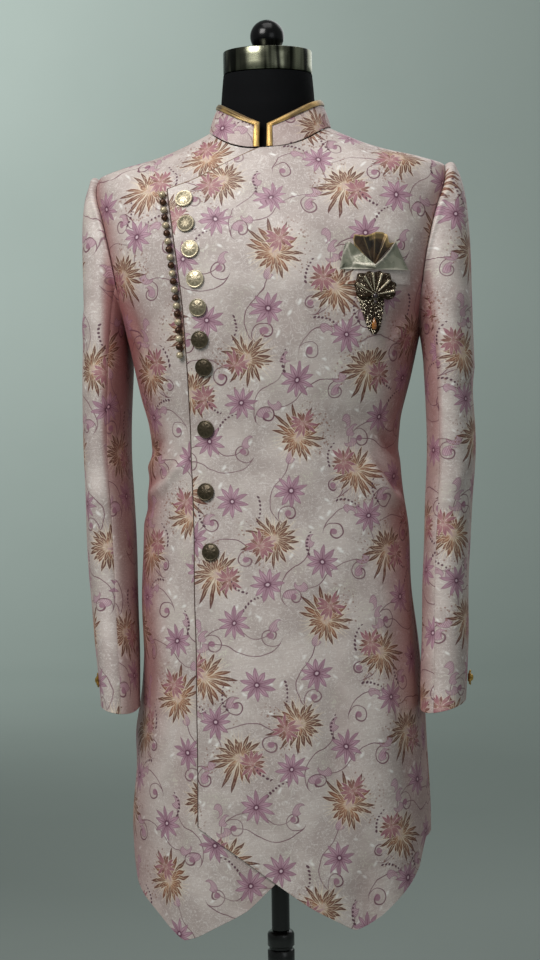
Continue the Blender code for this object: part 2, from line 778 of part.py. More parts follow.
# ----------------------------------------------------------------- buttons
button_profile = [(0.0, 0.0), (0.86, 0.0), (1.0, 0.24), (1.0, 0.42), (0.88, 0.62), (0.52, 0.88), (0.0, 1.0)]
for i, (x, z) in enumerate(BUTTONS):
    angle = front_angle(x, z)
    n = body_normal(angle, z)
    seat = body_point(angle, z) + n * (CLOTH + LAP_GAP + CLOTH + 0.0009)
    lathe("button_%02d" % (i + 1), [(r * BUTTON_R, h * BUTTON_H) for r, h in button_profile],
          BRASS, 16, stand_on(seat, n))

for side, word in ((+1, "left"), (-1, "right")):
    s = 1 + (SLEEVE_TOP_Z - CUFF_BUTTON_Z) / (SLEEVE_TOP_Z - CUFF_Z)
    k = 0.0
    n = sleeve_normal(k, s, side)
    n = unit(n * np.array((1, 1, 0.2)))
    seat = sleeve_point(k, s, side) + n * (SLEEVE_WALL + 0.0016)
    profile = [(0.0, 0.0), (0.55, 0.0), (0.62, 0.0012), (1.0, 0.0020), (0.96, 0.0034), (0.62, 0.0058), (0.0, 0.0070)]
    lathe("cuff_button_%s" % word, [(r * CUFF_BUTTON_R, h) for r, h in profile], GOLD, 12, stand_on(seat, n))


# ------------------------------------------- breast pocket, square, brooch
def chest(x, z, out):
    angle = front_angle(x, z)
    return body_point(angle, z) + body_normal(angle, z) * (CLOTH + out)


def chest_wall(name, outline, low, high, mat, near, far):
    """Wall on the chest: outline gives (x, bottom z, top z) rows."""
    inner, outer = [], []
    for t in np.linspace(low, high, 4):
        ri, ro = [], []
        for x, z0, z1 in outline:
            z = z0 + (z1 - z0) * t
            ri.append(chest(x, z, near))
            ro.append(chest(x, z, far))
        inner.append(ri)
        outer.append(ro)
    return wall(name, inner, outer, mat)


cols = 9
outline = [(WELT_X0 + (WELT_X1 - WELT_X0) * c / cols, WELT_Z - WELT_DROP, WELT_Z) for c in range(cols + 1)]
chest_wall("pocket_welt", outline, 0, 1, BROCADE, 0.0008, 0.0020)

sq_x, sq_z = column(SQUARE_EDGE, 0), column(SQUARE_EDGE, 1)
cols = 14
outline = []
for c in range(cols + 1):
    x = sq_x[0] + (sq_x[-1] - sq_x[0]) * c / cols
    outline.append((x, WELT_Z + 0.0006, straight_read(sq_x, sq_z, x)))
inner, outer = [], []
for r in range(5):
    t = r / 4
    ri, ro = [], []
    for c, (x, z0, z1) in enumerate(outline):
        z = z0 + (z1 - z0) * t
        pleat = 0.0014 * (1 + math.cos(math.pi * c)) * t
        ri.append(chest(x, z, 0.0010))
        ro.append(chest(x, z, 0.0034 + pleat))
    inner.append(ri)
    outer.append(ro)
wall("pocket_square", inner, outer, SQUARE)

# Brooch: a fan of rays over a half round plate, and a hanging mesh with a drop.
fan_out = [(BROOCH_X + 0.0215, BROOCH_Z - 0.0030)]
for i in range(BROOCH_RAYS):
    t = math.radians(20 + 140 * i / (BROOCH_RAYS - 1))
    reach = BROOCH_REACH * (0.90 + 0.10 * math.sin(t))
    for dt, share in ((-0.17, 0.80), (0.0, 1.0), (0.17, 0.80)):
        fan_out.append((BROOCH_X + share * reach * math.cos(t + dt), BROOCH_Z + share * reach * math.sin(t + dt)))
fan_out.append((BROOCH_X - 0.0215, BROOCH_Z - 0.0030))
fan_out.append((BROOCH_X, BROOCH_Z - 0.0045))


def plate(name, outline, hub, near, far, mat):
    """Flat ornament laid on the chest: a fan of triangles round a hub."""
    verts = [chest(x, z, near) for x, z in outline] + [chest(x, z, far) for x, z in outline]
    count = len(outline)
    verts += [chest(hub[0], hub[1], near), chest(hub[0], hub[1], far + 0.0012)]
    faces = []
    for i in range(count):
        j = (i + 1) % count
        faces.append([i, j, 2 * count])
        faces.append([count + i, count + j, 2 * count + 1])
        faces.append([i, j, count + j, count + i])
    return solid(name, verts, faces, mat)


plate("brooch_fan", fan_out, (BROOCH_X, BROOCH_Z + 0.004), 0.0056, 0.0078, GOLD)
drop_out = []
for i in range(7):
    t = i / 6
    half = BROOCH_MESH_TOP * (1 - t) ** 0.8 + 0.0022
    drop_out.append((t, half))
low_z = BROOCH_Z - 0.0056
outline = [(BROOCH_X - 0.003 * t + h, low_z + (BROOCH_MESH_TIP - low_z) * t) for t, h in drop_out]
outline += [(BROOCH_X - 0.003 * t - h, low_z + (BROOCH_MESH_TIP - low_z) * t) for t, h in reversed(drop_out)]
plate("brooch_mesh", outline, (BROOCH_X - 0.001, BROOCH_Z - 0.018), 0.0044, 0.0058, GOLD)


# -------------------------------------------------------------- dress form
def form_section(z):
    if z <= 1.478:
        a, bf, bb, n = body_section(z)
        shrink = FORM_CLEAR + 0.006 * ease((z - 1.42) / 0.03)
        a = a - shrink
        if z > 1.235:
            a = min(a, FORM_ARM_X)
        return a, bf - FORM_CLEAR, bb - FORM_CLEAR, n
    zs = column(FORM_NECK, 0)
    return (*[straight_read(zs, column(FORM_NECK, k), z) for k in (1, 2, 3)], 2.0)


FORM_SEGS = 28
levels = [(FORM_BOTTOM_Z, 0.90), (FORM_BOTTOM_Z + 0.006, 0.97), (FORM_BOTTOM_Z + 0.020, 1.0)]
levels += [(0.88 + 0.06 * i, 1.0) for i in range(7)]
levels += [(1.28, 1.0), (1.32, 1.0), (1.36, 1.0), (1.395, 1.0), (1.42, 1.0), (1.437, 1.0), (1.450, 1.0),
           (1.460, 1.0), (1.470, 1.0), (1.478, 1.0), (1.486, 1.0), (1.500, 1.0), (1.520, 1.0), (1.545, 1.0),
           (NECK_TOP_Z, 1.0)]
verts, faces = [], []
for z, share in levels:
    a, bf, bb, n = form_section(z)
    for i in range(FORM_SEGS):
        t = 2 * math.pi * i / FORM_SEGS
        b = bf if math.sin(t) < 0 else bb
        dent = sleeve_dent(t if t < math.pi else t - 2 * math.pi, z)
        x = a * power(math.cos(t), 2 / n)
        x -= math.copysign(dent, math.cos(t))
        drift = COAT_SHIFT * (1 - ease((z - 1.30) / 0.15))
        lean = SHOULDER_LEAN * x * ease((z - 1.25) / 0.15) * (1 - ease((z - 1.465) / 0.03))
        verts.append((share * x + drift, share * b * power(math.sin(t), 2 / n), z + lean))
for r in range(len(levels) - 1):
    for i in range(FORM_SEGS):
        j = (i + 1) % FORM_SEGS
        faces.append([r * FORM_SEGS + i, r * FORM_SEGS + j, (r + 1) * FORM_SEGS + j, (r + 1) * FORM_SEGS + i])
for r, z in ((0, FORM_BOTTOM_Z), (len(levels) - 1, NECK_TOP_Z)):
    verts.append((0, 0, z))
    for i in range(FORM_SEGS):
        faces.append([r * FORM_SEGS + i, r * FORM_SEGS + (i + 1) % FORM_SEGS, len(verts) - 1])
solid("form_body", verts, faces, FORM)

lathe("form_cap", [(0.0, CAP_Z0), (CAP_R - 0.0010, CAP_Z0), (CAP_R, CAP_Z0 + 0.0010), (CAP_R, CAP_Z1 - 0.0020),
                   (CAP_R - 0.0020, CAP_Z1), (0.0, CAP_Z1)], CHROME, 40)
knob = [(0.0, CAP_Z1 + 0.0003), (0.0110, CAP_Z1 + 0.0003), (0.0110, CAP_Z1 + 0.0020)]
knob_mid = CAP_Z1 + 0.0190
for i in range(9):
    t = math.radians(-52 + 142 * i / 9)
    knob.append((KNOB_R * math.cos(t), knob_mid + KNOB_R * 0.98 * math.sin(t)))
knob.append((0.0, knob_mid + KNOB_R * 0.98))
lathe("form_knob", knob, GLOSS, 28)

lathe("stand_pole", [(0.0, COLLAR_Z1 + 0.0003), (POLE_R, COLLAR_Z1 + 0.0003),
                     (POLE_R, FORM_BOTTOM_Z - 0.0003), (0.0, FORM_BOTTOM_Z - 0.0003)], GLOSS, 24)
mid = (COLLAR_Z0 + COLLAR_Z1) / 2
lathe("stand_collar", [(0.0, COLLAR_Z0), (COLLAR_R - 0.0020, COLLAR_Z0), (COLLAR_R, COLLAR_Z0 + 0.0020),
                       (COLLAR_R, mid - 0.0030), (COLLAR_R - 0.0018, mid - 0.0012), (COLLAR_R - 0.0018, mid + 0.0012),
                       (COLLAR_R, mid + 0.0030), (COLLAR_R, COLLAR_Z1 - 0.0040),
                       (COLLAR_R - 0.0030, COLLAR_Z1), (0.0, COLLAR_Z1)], GLOSS, 24)
lathe("stand_tube", [(0.0, BASE_H + 0.0163), (TUBE_R, BASE_H + 0.0163), (TUBE_R, COLLAR_Z0 - 0.0003),
                     (0.0, COLLAR_Z0 - 0.0003)], GLOSS, 24)
lathe("stand_base", [(0.0, 0.0), (BASE_R - 0.0020, 0.0), (BASE_R, 0.0020), (BASE_R, BASE_H - 0.0060),
                     (BASE_R - 0.0060, BASE_H), (0.0300, BASE_H), (0.0260, BASE_H + 0.0160),
                     (0.0, BASE_H + 0.0160)], GLOSS, 48)
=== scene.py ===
import math

import bmesh
import bpy
import numpy as np
from mathutils import Matrix, Vector


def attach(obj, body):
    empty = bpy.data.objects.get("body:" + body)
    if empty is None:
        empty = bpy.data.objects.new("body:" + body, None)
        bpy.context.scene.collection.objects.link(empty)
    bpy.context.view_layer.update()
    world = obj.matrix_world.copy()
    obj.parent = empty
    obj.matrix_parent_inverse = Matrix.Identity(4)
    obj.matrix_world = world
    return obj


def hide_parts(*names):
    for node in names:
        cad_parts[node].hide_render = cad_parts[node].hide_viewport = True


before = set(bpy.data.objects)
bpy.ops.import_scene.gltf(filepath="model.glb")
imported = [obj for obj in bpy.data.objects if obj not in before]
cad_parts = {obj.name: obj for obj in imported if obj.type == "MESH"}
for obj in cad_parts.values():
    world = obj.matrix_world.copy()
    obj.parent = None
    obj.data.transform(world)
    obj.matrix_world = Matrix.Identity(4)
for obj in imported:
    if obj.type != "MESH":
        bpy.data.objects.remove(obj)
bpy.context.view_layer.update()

# =====================================================================
# Sizes and tables of the coat, as in the CAD model
# =====================================================================
CLOTH, LAP_GAP, SEAM, SLEEVE_WALL = 0.0016, 0.0016, 0.0003, 0.0016
COLLAR_WALL, TRIM_GAP = 0.0022, 0.0008
ARMPIT_Z, SHOULDER_Z = 1.235, 1.437
ARMHOLE_SPREAD = math.radians(21.0)
NECK_FRONT_Z, NECK_SIDE_Z, NECK_BACK_Z = 1.4620, 1.4898, 1.5000
HEM_SIDE_LEFT_Z, HEM_SIDE_RIGHT_Z = 0.602, 0.586
UNDER_EDGE_X = 0.035
COAT_SHIFT, SHOULDER_LEAN, SLEEVE_SHIFT, TUCK = 0.0025, 0.018, 0.003, 0.006
SLEEVE_TOP_Z, CUFF_Z = 1.190, 0.767
BUTTON_R, BUTTON_H = 0.0110, 0.0044
BEAD_R, BEAD_PITCH, BEAD_COUNT, BEAD_TOP_Z = 0.0040, 0.0099, 21, 1.4060
CUFF_BUTTON_R, CUFF_BUTTON_Z = 0.0092, 0.794
PIPING_R, BINDING_W, BINDING_T = 0.0008, 0.0052, 0.0009
FORM_CLEAR, FORM_BOTTOM_Z, NECK_TOP_Z = 0.007, 0.800, 1.5615
CAP_R, CAP_Z0, CAP_Z1 = 0.0560, 1.5620, 1.5910
KNOB_R, POLE_R = 0.0215, 0.0115
COLLAR_R, COLLAR_Z0, COLLAR_Z1 = 0.0172, 0.430, 0.474
TUBE_R, BASE_R, BASE_H = 0.0140, 0.170, 0.018

# height, half width, depth to the front, depth to the back, squareness
BODY = [
    (0.460, 0.186, 0.141, 0.131, 2.25),
    (0.583, 0.187, 0.141, 0.132, 2.25),
    (0.664, 0.188, 0.139, 0.133, 2.25),
    (0.746, 0.186, 0.136, 0.134, 2.25),
    (0.867, 0.177, 0.128, 0.132, 2.25),
    (0.969, 0.168, 0.120, 0.125, 2.25),
    (1.030, 0.165, 0.115, 0.114, 2.25),
    (1.070, 0.160, 0.112, 0.108, 2.25),
    (1.091, 0.156, 0.112, 0.106, 2.25),
    (1.120, 0.159, 0.114, 0.107, 2.25),
    (1.152, 0.166, 0.118, 0.110, 2.30),
    (1.193, 0.174, 0.123, 0.115, 2.35),
    (1.235, 0.184, 0.127, 0.119, 2.45),
    (1.285, 0.197, 0.128, 0.123, 2.55),
    (1.345, 0.210, 0.121, 0.125, 2.60),
    (1.385, 0.218, 0.108, 0.120, 2.55),
    (1.415, 0.223, 0.094, 0.109, 2.50),
    (1.437, 0.218, 0.082, 0.097, 2.40),
    (1.447, 0.192, 0.076, 0.091, 2.30),
    (1.458, 0.152, 0.070, 0.084, 2.15),
    (1.469, 0.120, 0.067, 0.079, 2.05),
    (1.479, 0.097, 0.064, 0.075, 2.00),
    (1.486, 0.082, 0.062, 0.072, 2.00),
    (1.494, 0.069, 0.060, 0.069, 2.00),
    (1.520, 0.065, 0.059, 0.067, 2.00),
]
# height, distance out, distance back, half width, half depth
SLEEVE = [
    (0.767, 0.2040, -0.046, 0.0230, 0.053),
    (0.805, 0.2058, -0.038, 0.0238, 0.055),
    (0.860, 0.2085, -0.027, 0.0255, 0.059),
    (0.930, 0.2110, -0.016, 0.0270, 0.063),
    (1.000, 0.2140, -0.008, 0.0278, 0.067),
    (1.100, 0.2165, 0.000, 0.0282, 0.072),
    (1.190, 0.2160, 0.002, 0.0285, 0.075),
]
# height, x of the over front's slanting edge
FLAP_EDGE = [
    (0.6305, -0.0838), (0.7870, -0.0848), (0.9090, -0.0855), (1.0310, -0.0873), (1.0920, -0.0892),
    (1.1780, -0.0900), (1.2390, -0.0926), (1.3240, -0.1010), (1.4130, -0.1155),
]
# x, height of its upper edge
FLAP_TOP = [(-0.0035, 1.4623), (-0.0366, 1.4465), (-0.0890, 1.4210), (-0.1155, 1.4130)]
# x, height of the two pointed hems
OVER_HEM = [
    (-0.0840, 0.6305), (-0.0380, 0.5990), (0.0085, 0.5655), (0.0530, 0.5345), (0.0830, 0.5165), (0.1050, 0.5045),
    (0.1190, 0.5090), (0.1360, 0.5190), (0.1530, 0.5355), (0.1700, 0.5540), (0.1800, 0.5690), (0.1870, 0.6020),
]
UNDER_HEM = [
    (-0.1870, 0.5860), (-0.1770, 0.5690), (-0.1715, 0.5515), (-0.1600, 0.5350), (-0.1440, 0.5190),
    (-0.1260, 0.5025), (-0.1060, 0.4900), (-0.0900, 0.4950), (-0.0655, 0.5085), (-0.0264, 0.5300),
    (0.0022, 0.5575), (0.0350, 0.5900),
]
# x, height
BUTTONS = [
    (-0.0940, 1.3990), (-0.0903, 1.3678), (-0.0845, 1.3368), (-0.0784, 1.3003), (-0.0752, 1.2657),
    (-0.0735, 1.2272), (-0.0695, 1.1937), (-0.0700, 1.1180), (-0.0712, 1.0400), (-0.0655, 0.9670),
]
WELT_X0, WELT_X1, WELT_Z, WELT_DROP = 0.099, 0.177, 1.3080, 0.018
BROOCH_X, BROOCH_Z = 0.1385, 1.2760
BROOCH_REACH, BROOCH_MESH_TIP = 0.0290, 1.2340
# height, half width, depth to the front, depth to the back
FORM_NECK = [
    (1.486, 0.0680, 0.0560, 0.0630), (1.500, 0.0610, 0.0565, 0.0605), (1.520, 0.0598, 0.0575, 0.0597),
    (1.545, 0.0578, 0.0570, 0.0575), (1.5615, 0.0562, 0.0560, 0.0560),
]
FORM_ARM_X = 0.192


# =====================================================================
# Maths on whole arrays of points
# =====================================================================
def column(table, k):
    return np.array([row[k] for row in table], float)


def smooth_read(xs, ys, x):
    """Monotone cubic through a short table, for an array of x."""
    xs, ys, x = np.asarray(xs, float), np.asarray(ys, float), np.asarray(x, float)
    h = np.diff(xs)
    d = np.diff(ys) / h
    m = np.zeros(len(xs))
    for i in range(1, len(xs) - 1):
        if d[i - 1] * d[i] > 0:
            w1, w2 = 2 * h[i] + h[i - 1], h[i] + 2 * h[i - 1]
            m[i] = (w1 + w2) / (w1 / d[i - 1] + w2 / d[i])
    m[0], m[-1] = d[0], d[-1]
    x = np.clip(x, xs[0], xs[-1])
    i = np.clip(np.searchsorted(xs, x, side="right") - 1, 0, len(xs) - 2)
    s = (x - xs[i]) / h[i]
    return ((1 + 2 * s) * (1 - s) ** 2 * ys[i] + s * (1 - s) ** 2 * h[i] * m[i]
            + s * s * (3 - 2 * s) * ys[i + 1] + s * s * (s - 1) * h[i] * m[i + 1])


def ease(t):
    t = np.clip(t, 0.0, 1.0)
    return t * t * (3 - 2 * t)


def spow(c, e):
    return np.sign(c) * np.abs(c) ** e


def unit(v):
    v = np.asarray(v, float)
    return v / np.maximum(np.linalg.norm(v, axis=-1, keepdims=True), 1e-12)


BODY_Z = column(BODY, 0)


def body_section(z):
    return [smooth_read(BODY_Z, column(BODY, k), z) for k in (1, 2, 3, 4)]


def sleeve_dent(angle, z):
    a = np.degrees(angle)
    give = 0.0
    for middle, depth in ((-20.0, 0.005), (-160.0, 0.014)):
        off = (a - middle + 180.0) % 360.0 - 180.0
        give = give + depth * np.exp(-(off / 28.0) ** 2) * np.exp(-((z - 0.785) / 0.095) ** 2)
    return give


def body_point(angle, z):
    """Inner face of the coat.  angle 0 is the wearer's left, -90 deg the front."""
    angle, z = np.broadcast_arrays(np.asarray(angle, float), np.asarray(z, float))
    a, bf, bb, n = body_section(z)
    b = np.where(np.sin(angle) < 0, bf, bb)
    x = a * spow(np.cos(angle), 2 / n)
    y = b * spow(np.sin(angle), 2 / n)
    x = x - np.copysign(sleeve_dent(angle, z), np.cos(angle))
    lean = SHOULDER_LEAN * x * ease((z - 1.25) / 0.15)
    return np.stack((x + COAT_SHIFT, y, z + lean), -1)


def body_normal(angle, z):
    da, dz = math.radians(2.0), 0.004
    du = body_point(angle + da, z) - body_point(angle - da, z)
    dv = body_point(angle, z + dz) - body_point(angle, z - dz)
    return unit(np.cross(du, dv))


def front_angle(x, z):
    x, z = np.broadcast_arrays(np.asarray(x, float), np.asarray(z, float))
    a, bf, bb, n = body_section(z)
    x = x - COAT_SHIFT
    c = np.minimum(np.abs(x) / a, 1.0) ** (n / 2)
    t = np.arccos(np.minimum(c, 1.0))
    return np.where(x >= 0, -t, -(math.pi - t))


NECK_HALF = float(body_section(NECK_SIDE_Z)[0])


def neckline(turn):
    turn = np.asarray(turn, float)
    front = np.sin(turn) < 0
    low = np.where(front, NECK_FRONT_Z, NECK_BACK_Z)
    z = low + (NECK_SIDE_Z - low) * np.abs(np.cos(turn)) ** np.where(front, 2.7, 2.0)
    a, bf, bb, n = body_section(z)
    t = np.arccos(np.minimum(NECK_HALF * np.abs(np.cos(turn)) / a, 1.0) ** (n / 2))
    t = np.where(np.cos(turn) < 0, math.pi - t, t)
    return np.where(front, -t, t), z


# =====================================================================
# Creases.  Each is a soft ridge (+) or trough (-) along a bent line.
# =====================================================================
def bend(points, count=28):
    """Smooth line through a few control points (Catmull-Rom), for any columns."""
    p = np.array(points, float)
    if len(p) == 2:
        t = np.linspace(0, 1, count)[:, None]
        return p[0] + (p[1] - p[0]) * t
    q = np.vstack((2 * p[0] - p[1], p, 2 * p[-1] - p[-2]))
    out = []
    per = max(2, count // (len(p) - 1))
    for i in range(1, len(q) - 2):
        for t in np.linspace(0, 1, per, endpoint=i == len(q) - 3):
            a, b, c, d = q[i - 1], q[i], q[i + 1], q[i + 2]
            out.append(0.5 * (2 * b + (c - a) * t + (2 * a - 5 * b + 4 * c - d) * t * t
                              + (3 * b - a - 3 * c + d) * t ** 3))
    return np.array(out)


def line_distance(u, v, line):
    """Distance from (u, v) to a line, share of the way along it, and the side (+-1)."""
    best = np.full(u.shape, 1e9)
    along = np.zeros(u.shape)
    side = np.ones(u.shape)
    seg = np.diff(line, axis=0)
    length = np.concatenate(([0.0], np.cumsum(np.linalg.norm(seg, axis=1))))
    for i in range(len(seg)):
        s, n2 = seg[i], float(seg[i] @ seg[i]) + 1e-15
        t = np.clip(((u - line[i, 0]) * s[0] + (v - line[i, 1]) * s[1]) / n2, 0, 1)
        du, dv = u - line[i, 0] - t * s[0], v - line[i, 1] - t * s[1]
        d = np.hypot(du, dv)
        near = d < best
        best = np.where(near, d, best)
        along = np.where(near, (length[i] + t * math.sqrt(n2)) / length[-1], along)
        side = np.where(near, np.sign(s[0] * dv - s[1] * du), side)
    return best, along, side


ROUND = 0.170          # metres of cloth for a radian round the body, in the crease tables


def crease_sum(u, v, creases, turn=None):
    """Height of all creases at cloth coordinates (u, v), in metres.  turn is the
    length round a closed piece, where creases carry on past the end.
    columns: points, half width, height, skew, sharpness at the two ends"""
    u, v = np.broadcast_arrays(u, v)
    total = np.zeros(u.shape)
    for points, width, height, skew, tip in creases:
        line = bend(points)
        lo, hi = line.min(0) - 3.4 * width, line.max(0) + 3.4 * width
        for k in ((-1, 0, 1) if turn else (0,)):
            uu = u + (turn * k if turn else 0.0)
            near = (uu > lo[0]) & (uu < hi[0]) & (v > lo[1]) & (v < hi[1])
            if not near.any():
                continue
            d, t, side = line_distance(uu[near], v[near], line)
            shape = np.exp(-(d / width) ** 2)
            if skew:
                # the cloth falls away more steeply on one side and dips there
                dip = (d * side - math.copysign(1.55, skew) * width) / (0.9 * width)
                shape = shape - abs(skew) * np.exp(-dip ** 2)
            fade = np.clip(t / tip, 0, 1) * np.clip((1 - t) / tip, 0, 1) if tip > 0 else 1.0
            total[near] += height * shape * ease(fade)
    return total


def F(x, z):
    """Crease point on the front, given by x and height."""
    return (float(front_angle(x, z)) * ROUND, z)


def A(deg, z):
    """Crease point given by its angle round the body and height."""
    return (math.radians(deg) * ROUND, z)


BODY_CREASES = [
    # the fold from the waist out over the hip, wearer's right
    ([F(-0.086, 1.092), F(-0.112, 1.066), F(-0.128, 1.048), A(-166, 1.030)], 0.0090, 0.0056, -0.50, 0.34),
    ([F(-0.098, 1.050), F(-0.126, 1.018), A(-172, 0.985)], 0.0110, 0.0018, 0.0, 0.45),
    ([F(-0.140, 1.024), A(-172, 1.016), A(-186, 1.012)], 0.0110, -0.0042, 0.0, 0.45),
    ([F(-0.144, 1.074), A(-174, 1.069), A(-188, 1.066)], 0.0100, 0.0030, 0.0, 0.45),
    ([F(-0.120, 1.112), F(-0.140, 1.095), A(-176, 1.075)], 0.0080, -0.0042, 0.0, 0.45),
    # the same over the wearer's left hip, longer
    ([F(0.118, 1.082), F(0.136, 1.056), F(0.153, 1.030), A(-16, 1.026), A(-8, 1.020)], 0.0100, 0.0072, 0.45, 0.32),
    ([F(0.132, 1.118), F(0.150, 1.092), A(-8, 1.068)], 0.0090, -0.0046, 0.0, 0.45),
    ([A(-26, 1.008), A(-6, 1.000), A(18, 0.990)], 0.0420, 0.0056, 0.0, 0.45),
    ([F(0.112, 1.040), F(0.138, 1.000), A(-20, 0.960)], 0.0130, 0.0016, 0.0, 0.45),
    # pulls under the arms
    ([A(-18, 1.262), F(0.158, 1.222), F(0.146, 1.168)], 0.0110, 0.0026, 0.35, 0.40),
    ([A(-26, 1.300), F(0.166, 1.262), F(0.150, 1.205), F(0.142, 1.150)], 0.0120, -0.0020, 0.0, 0.40),
    ([A(-162, 1.266), F(-0.156, 1.224), F(-0.146, 1.175)], 0.0110, 0.0026, -0.35, 0.40),
    ([A(-153, 1.300), F(-0.164, 1.262), F(-0.148, 1.200)], 0.0110, -0.0018, 0.0, 0.40),
    # soft falls in the skirt
    ([F(0.128, 0.960), F(0.140, 0.830), F(0.150, 0.640), F(0.152, 0.560)], 0.0230, 0.0030, 0.30, 0.35),
    ([F(0.070, 0.900), F(0.080, 0.760), F(0.086, 0.560)], 0.0300, -0.0018, 0.0, 0.40),
    ([F(0.010, 0.860), F(0.014, 0.720), F(0.020, 0.590)], 0.0320, 0.0018, 0.0, 0.40),
    ([F(-0.135, 0.980), F(-0.142, 0.830), F(-0.146, 0.560)], 0.0220, 0.0026, -0.30, 0.35),
    ([F(-0.110, 0.860), F(-0.112, 0.720), F(-0.108, 0.540)], 0.0160, -0.0020, 0.0, 0.40),
    ([A(-4, 0.960), A(-6, 0.800), A(-8, 0.610)], 0.0200, -0.0024, 0.0, 0.35),
    ([A(-178, 0.940), A(-175, 0.800), A(-172, 0.600)], 0.0180, -0.0022, 0.0, 0.35),
    # chest
    ([F(0.050, 1.400), F(0.096, 1.362), F(0.150, 1.330)], 0.0260, 0.0012, 0.0, 0.45),
    ([F(-0.130, 1.385), F(-0.138, 1.330), F(-0.140, 1.270)], 0.0180, -0.0013, 0.0, 0.45),
    ([F(0.020, 1.200), F(0.070, 1.176), F(0.126, 1.160)], 0.0240, 0.0011, 0.0, 0.45),
    ([F(0.030, 1.105), F(0.074, 1.098), F(0.110, 1.108)], 0.0180, -0.0012, 0.0, 0.45),
    # back: cross folds at the waist, blades, and falls below
    ([A(20, 1.110), A(52, 1.092), A(86, 1.086)], 0.0110, 0.0034, 0.45, 0.35),
    ([A(160, 1.118), A(126, 1.096), A(92, 1.090)], 0.0110, 0.0030, -0.45, 0.35),
    ([A(30, 1.142), A(60, 1.128), A(84, 1.126)], 0.0100, -0.0022, 0.0, 0.40),
    ([A(152, 1.150), A(120, 1.132), A(98, 1.128)], 0.0100, -0.0020, 0.0, 0.40),
    ([A(26, 1.300), A(40, 1.240), A(52, 1.170)], 0.0140, 0.0030, 0.30, 0.40),
    ([A(154, 1.304), A(141, 1.240), A(130, 1.176)], 0.0140, 0.0028, -0.30, 0.40),
    ([A(58, 1.000), A(60, 0.840), A(62, 0.610)], 0.0260, 0.0036, 0.25, 0.35),
    ([A(88, 1.020), A(90, 0.840), A(90, 0.600)], 0.0220, -0.0026, 0.0, 0.35),
    ([A(120, 1.000), A(118, 0.840), A(116, 0.610)], 0.0260, 0.0032, -0.25, 0.35),
    ([A(30, 0.960), A(28, 0.800), A(26, 0.600)], 0.0220, -0.0022, 0.0, 0.35),
    ([A(150, 0.960), A(152, 0.800), A(154, 0.600)], 0.0220, -0.0020, 0.0, 0.35),
    ([A(70, 1.425), A(90, 1.440), A(112, 1.424)], 0.0120, 0.0016, 0.0, 0.45),
]


def waver(p, seed, size):
    """Slow unevenness of hanging satin: a few sine waves that never line up."""
    rng = np.random.RandomState(seed)
    total = 0.0
    for _ in range(8):
        d = unit(rng.normal(size=3) * np.array((1.0, 0.8, 0.7)))
        k = 2 * math.pi / rng.uniform(0.060, 0.160)
        total = total + np.sin(k * (p @ d) + rng.uniform(0, 2 * math.pi))
    return size * total / 8


def body_relief(angle, z):
    """How far the cloth stands off its plain form, in metres."""
    angle, z = np.broadcast_arrays(angle, z)
    h = crease_sum(angle * ROUND, z, BODY_CREASES, 2 * math.pi * ROUND)
    h = h + waver(body_point(angle, z), 3, 0.0022)
    # the hem's own slow wave
    h = h + 0.0020 * np.sin(angle * 9.0 + 0.7) * (1 - ease((z - 0.50) / 0.22))
    # the skirt's side swells out just under the wearer's right cuff; the waist is drawn in at both sides
    right = (angle + 2 * math.pi) % (2 * math.pi) - math.pi
    left = (angle + math.pi) % (2 * math.pi) - math.pi
    for height, at, spread, turn in ((0.0045, 0.728, 0.032, right), (-0.0042, 1.046, 0.030, right),
                                     (-0.0036, 1.141, 0.036, left), (-0.0078, 1.018, 0.052, left),
                                     (-0.0040, 0.905, 0.050, left)):
        h = h + height * np.exp(-((z - at) / spread) ** 2 - (turn / 0.46) ** 2)
    # calm where the neck sits, and where the sleeves are sewn in
    calm = 1 - 0.80 * ease((z - 1.425) / 0.04)
    mid, half = (ARMPIT_Z + SHOULDER_Z) / 2, (SHOULDER_Z - ARMPIT_Z) / 2
    for side in (0.0, math.pi):
        off = (angle - side + math.pi) % (2 * math.pi) - math.pi
        ring = np.hypot(off / ARMHOLE_SPREAD, (z - mid) / half)
        calm = calm * (1 - 0.85 * np.exp(-((ring - 1.0) / 0.12) ** 2))
    return h * calm


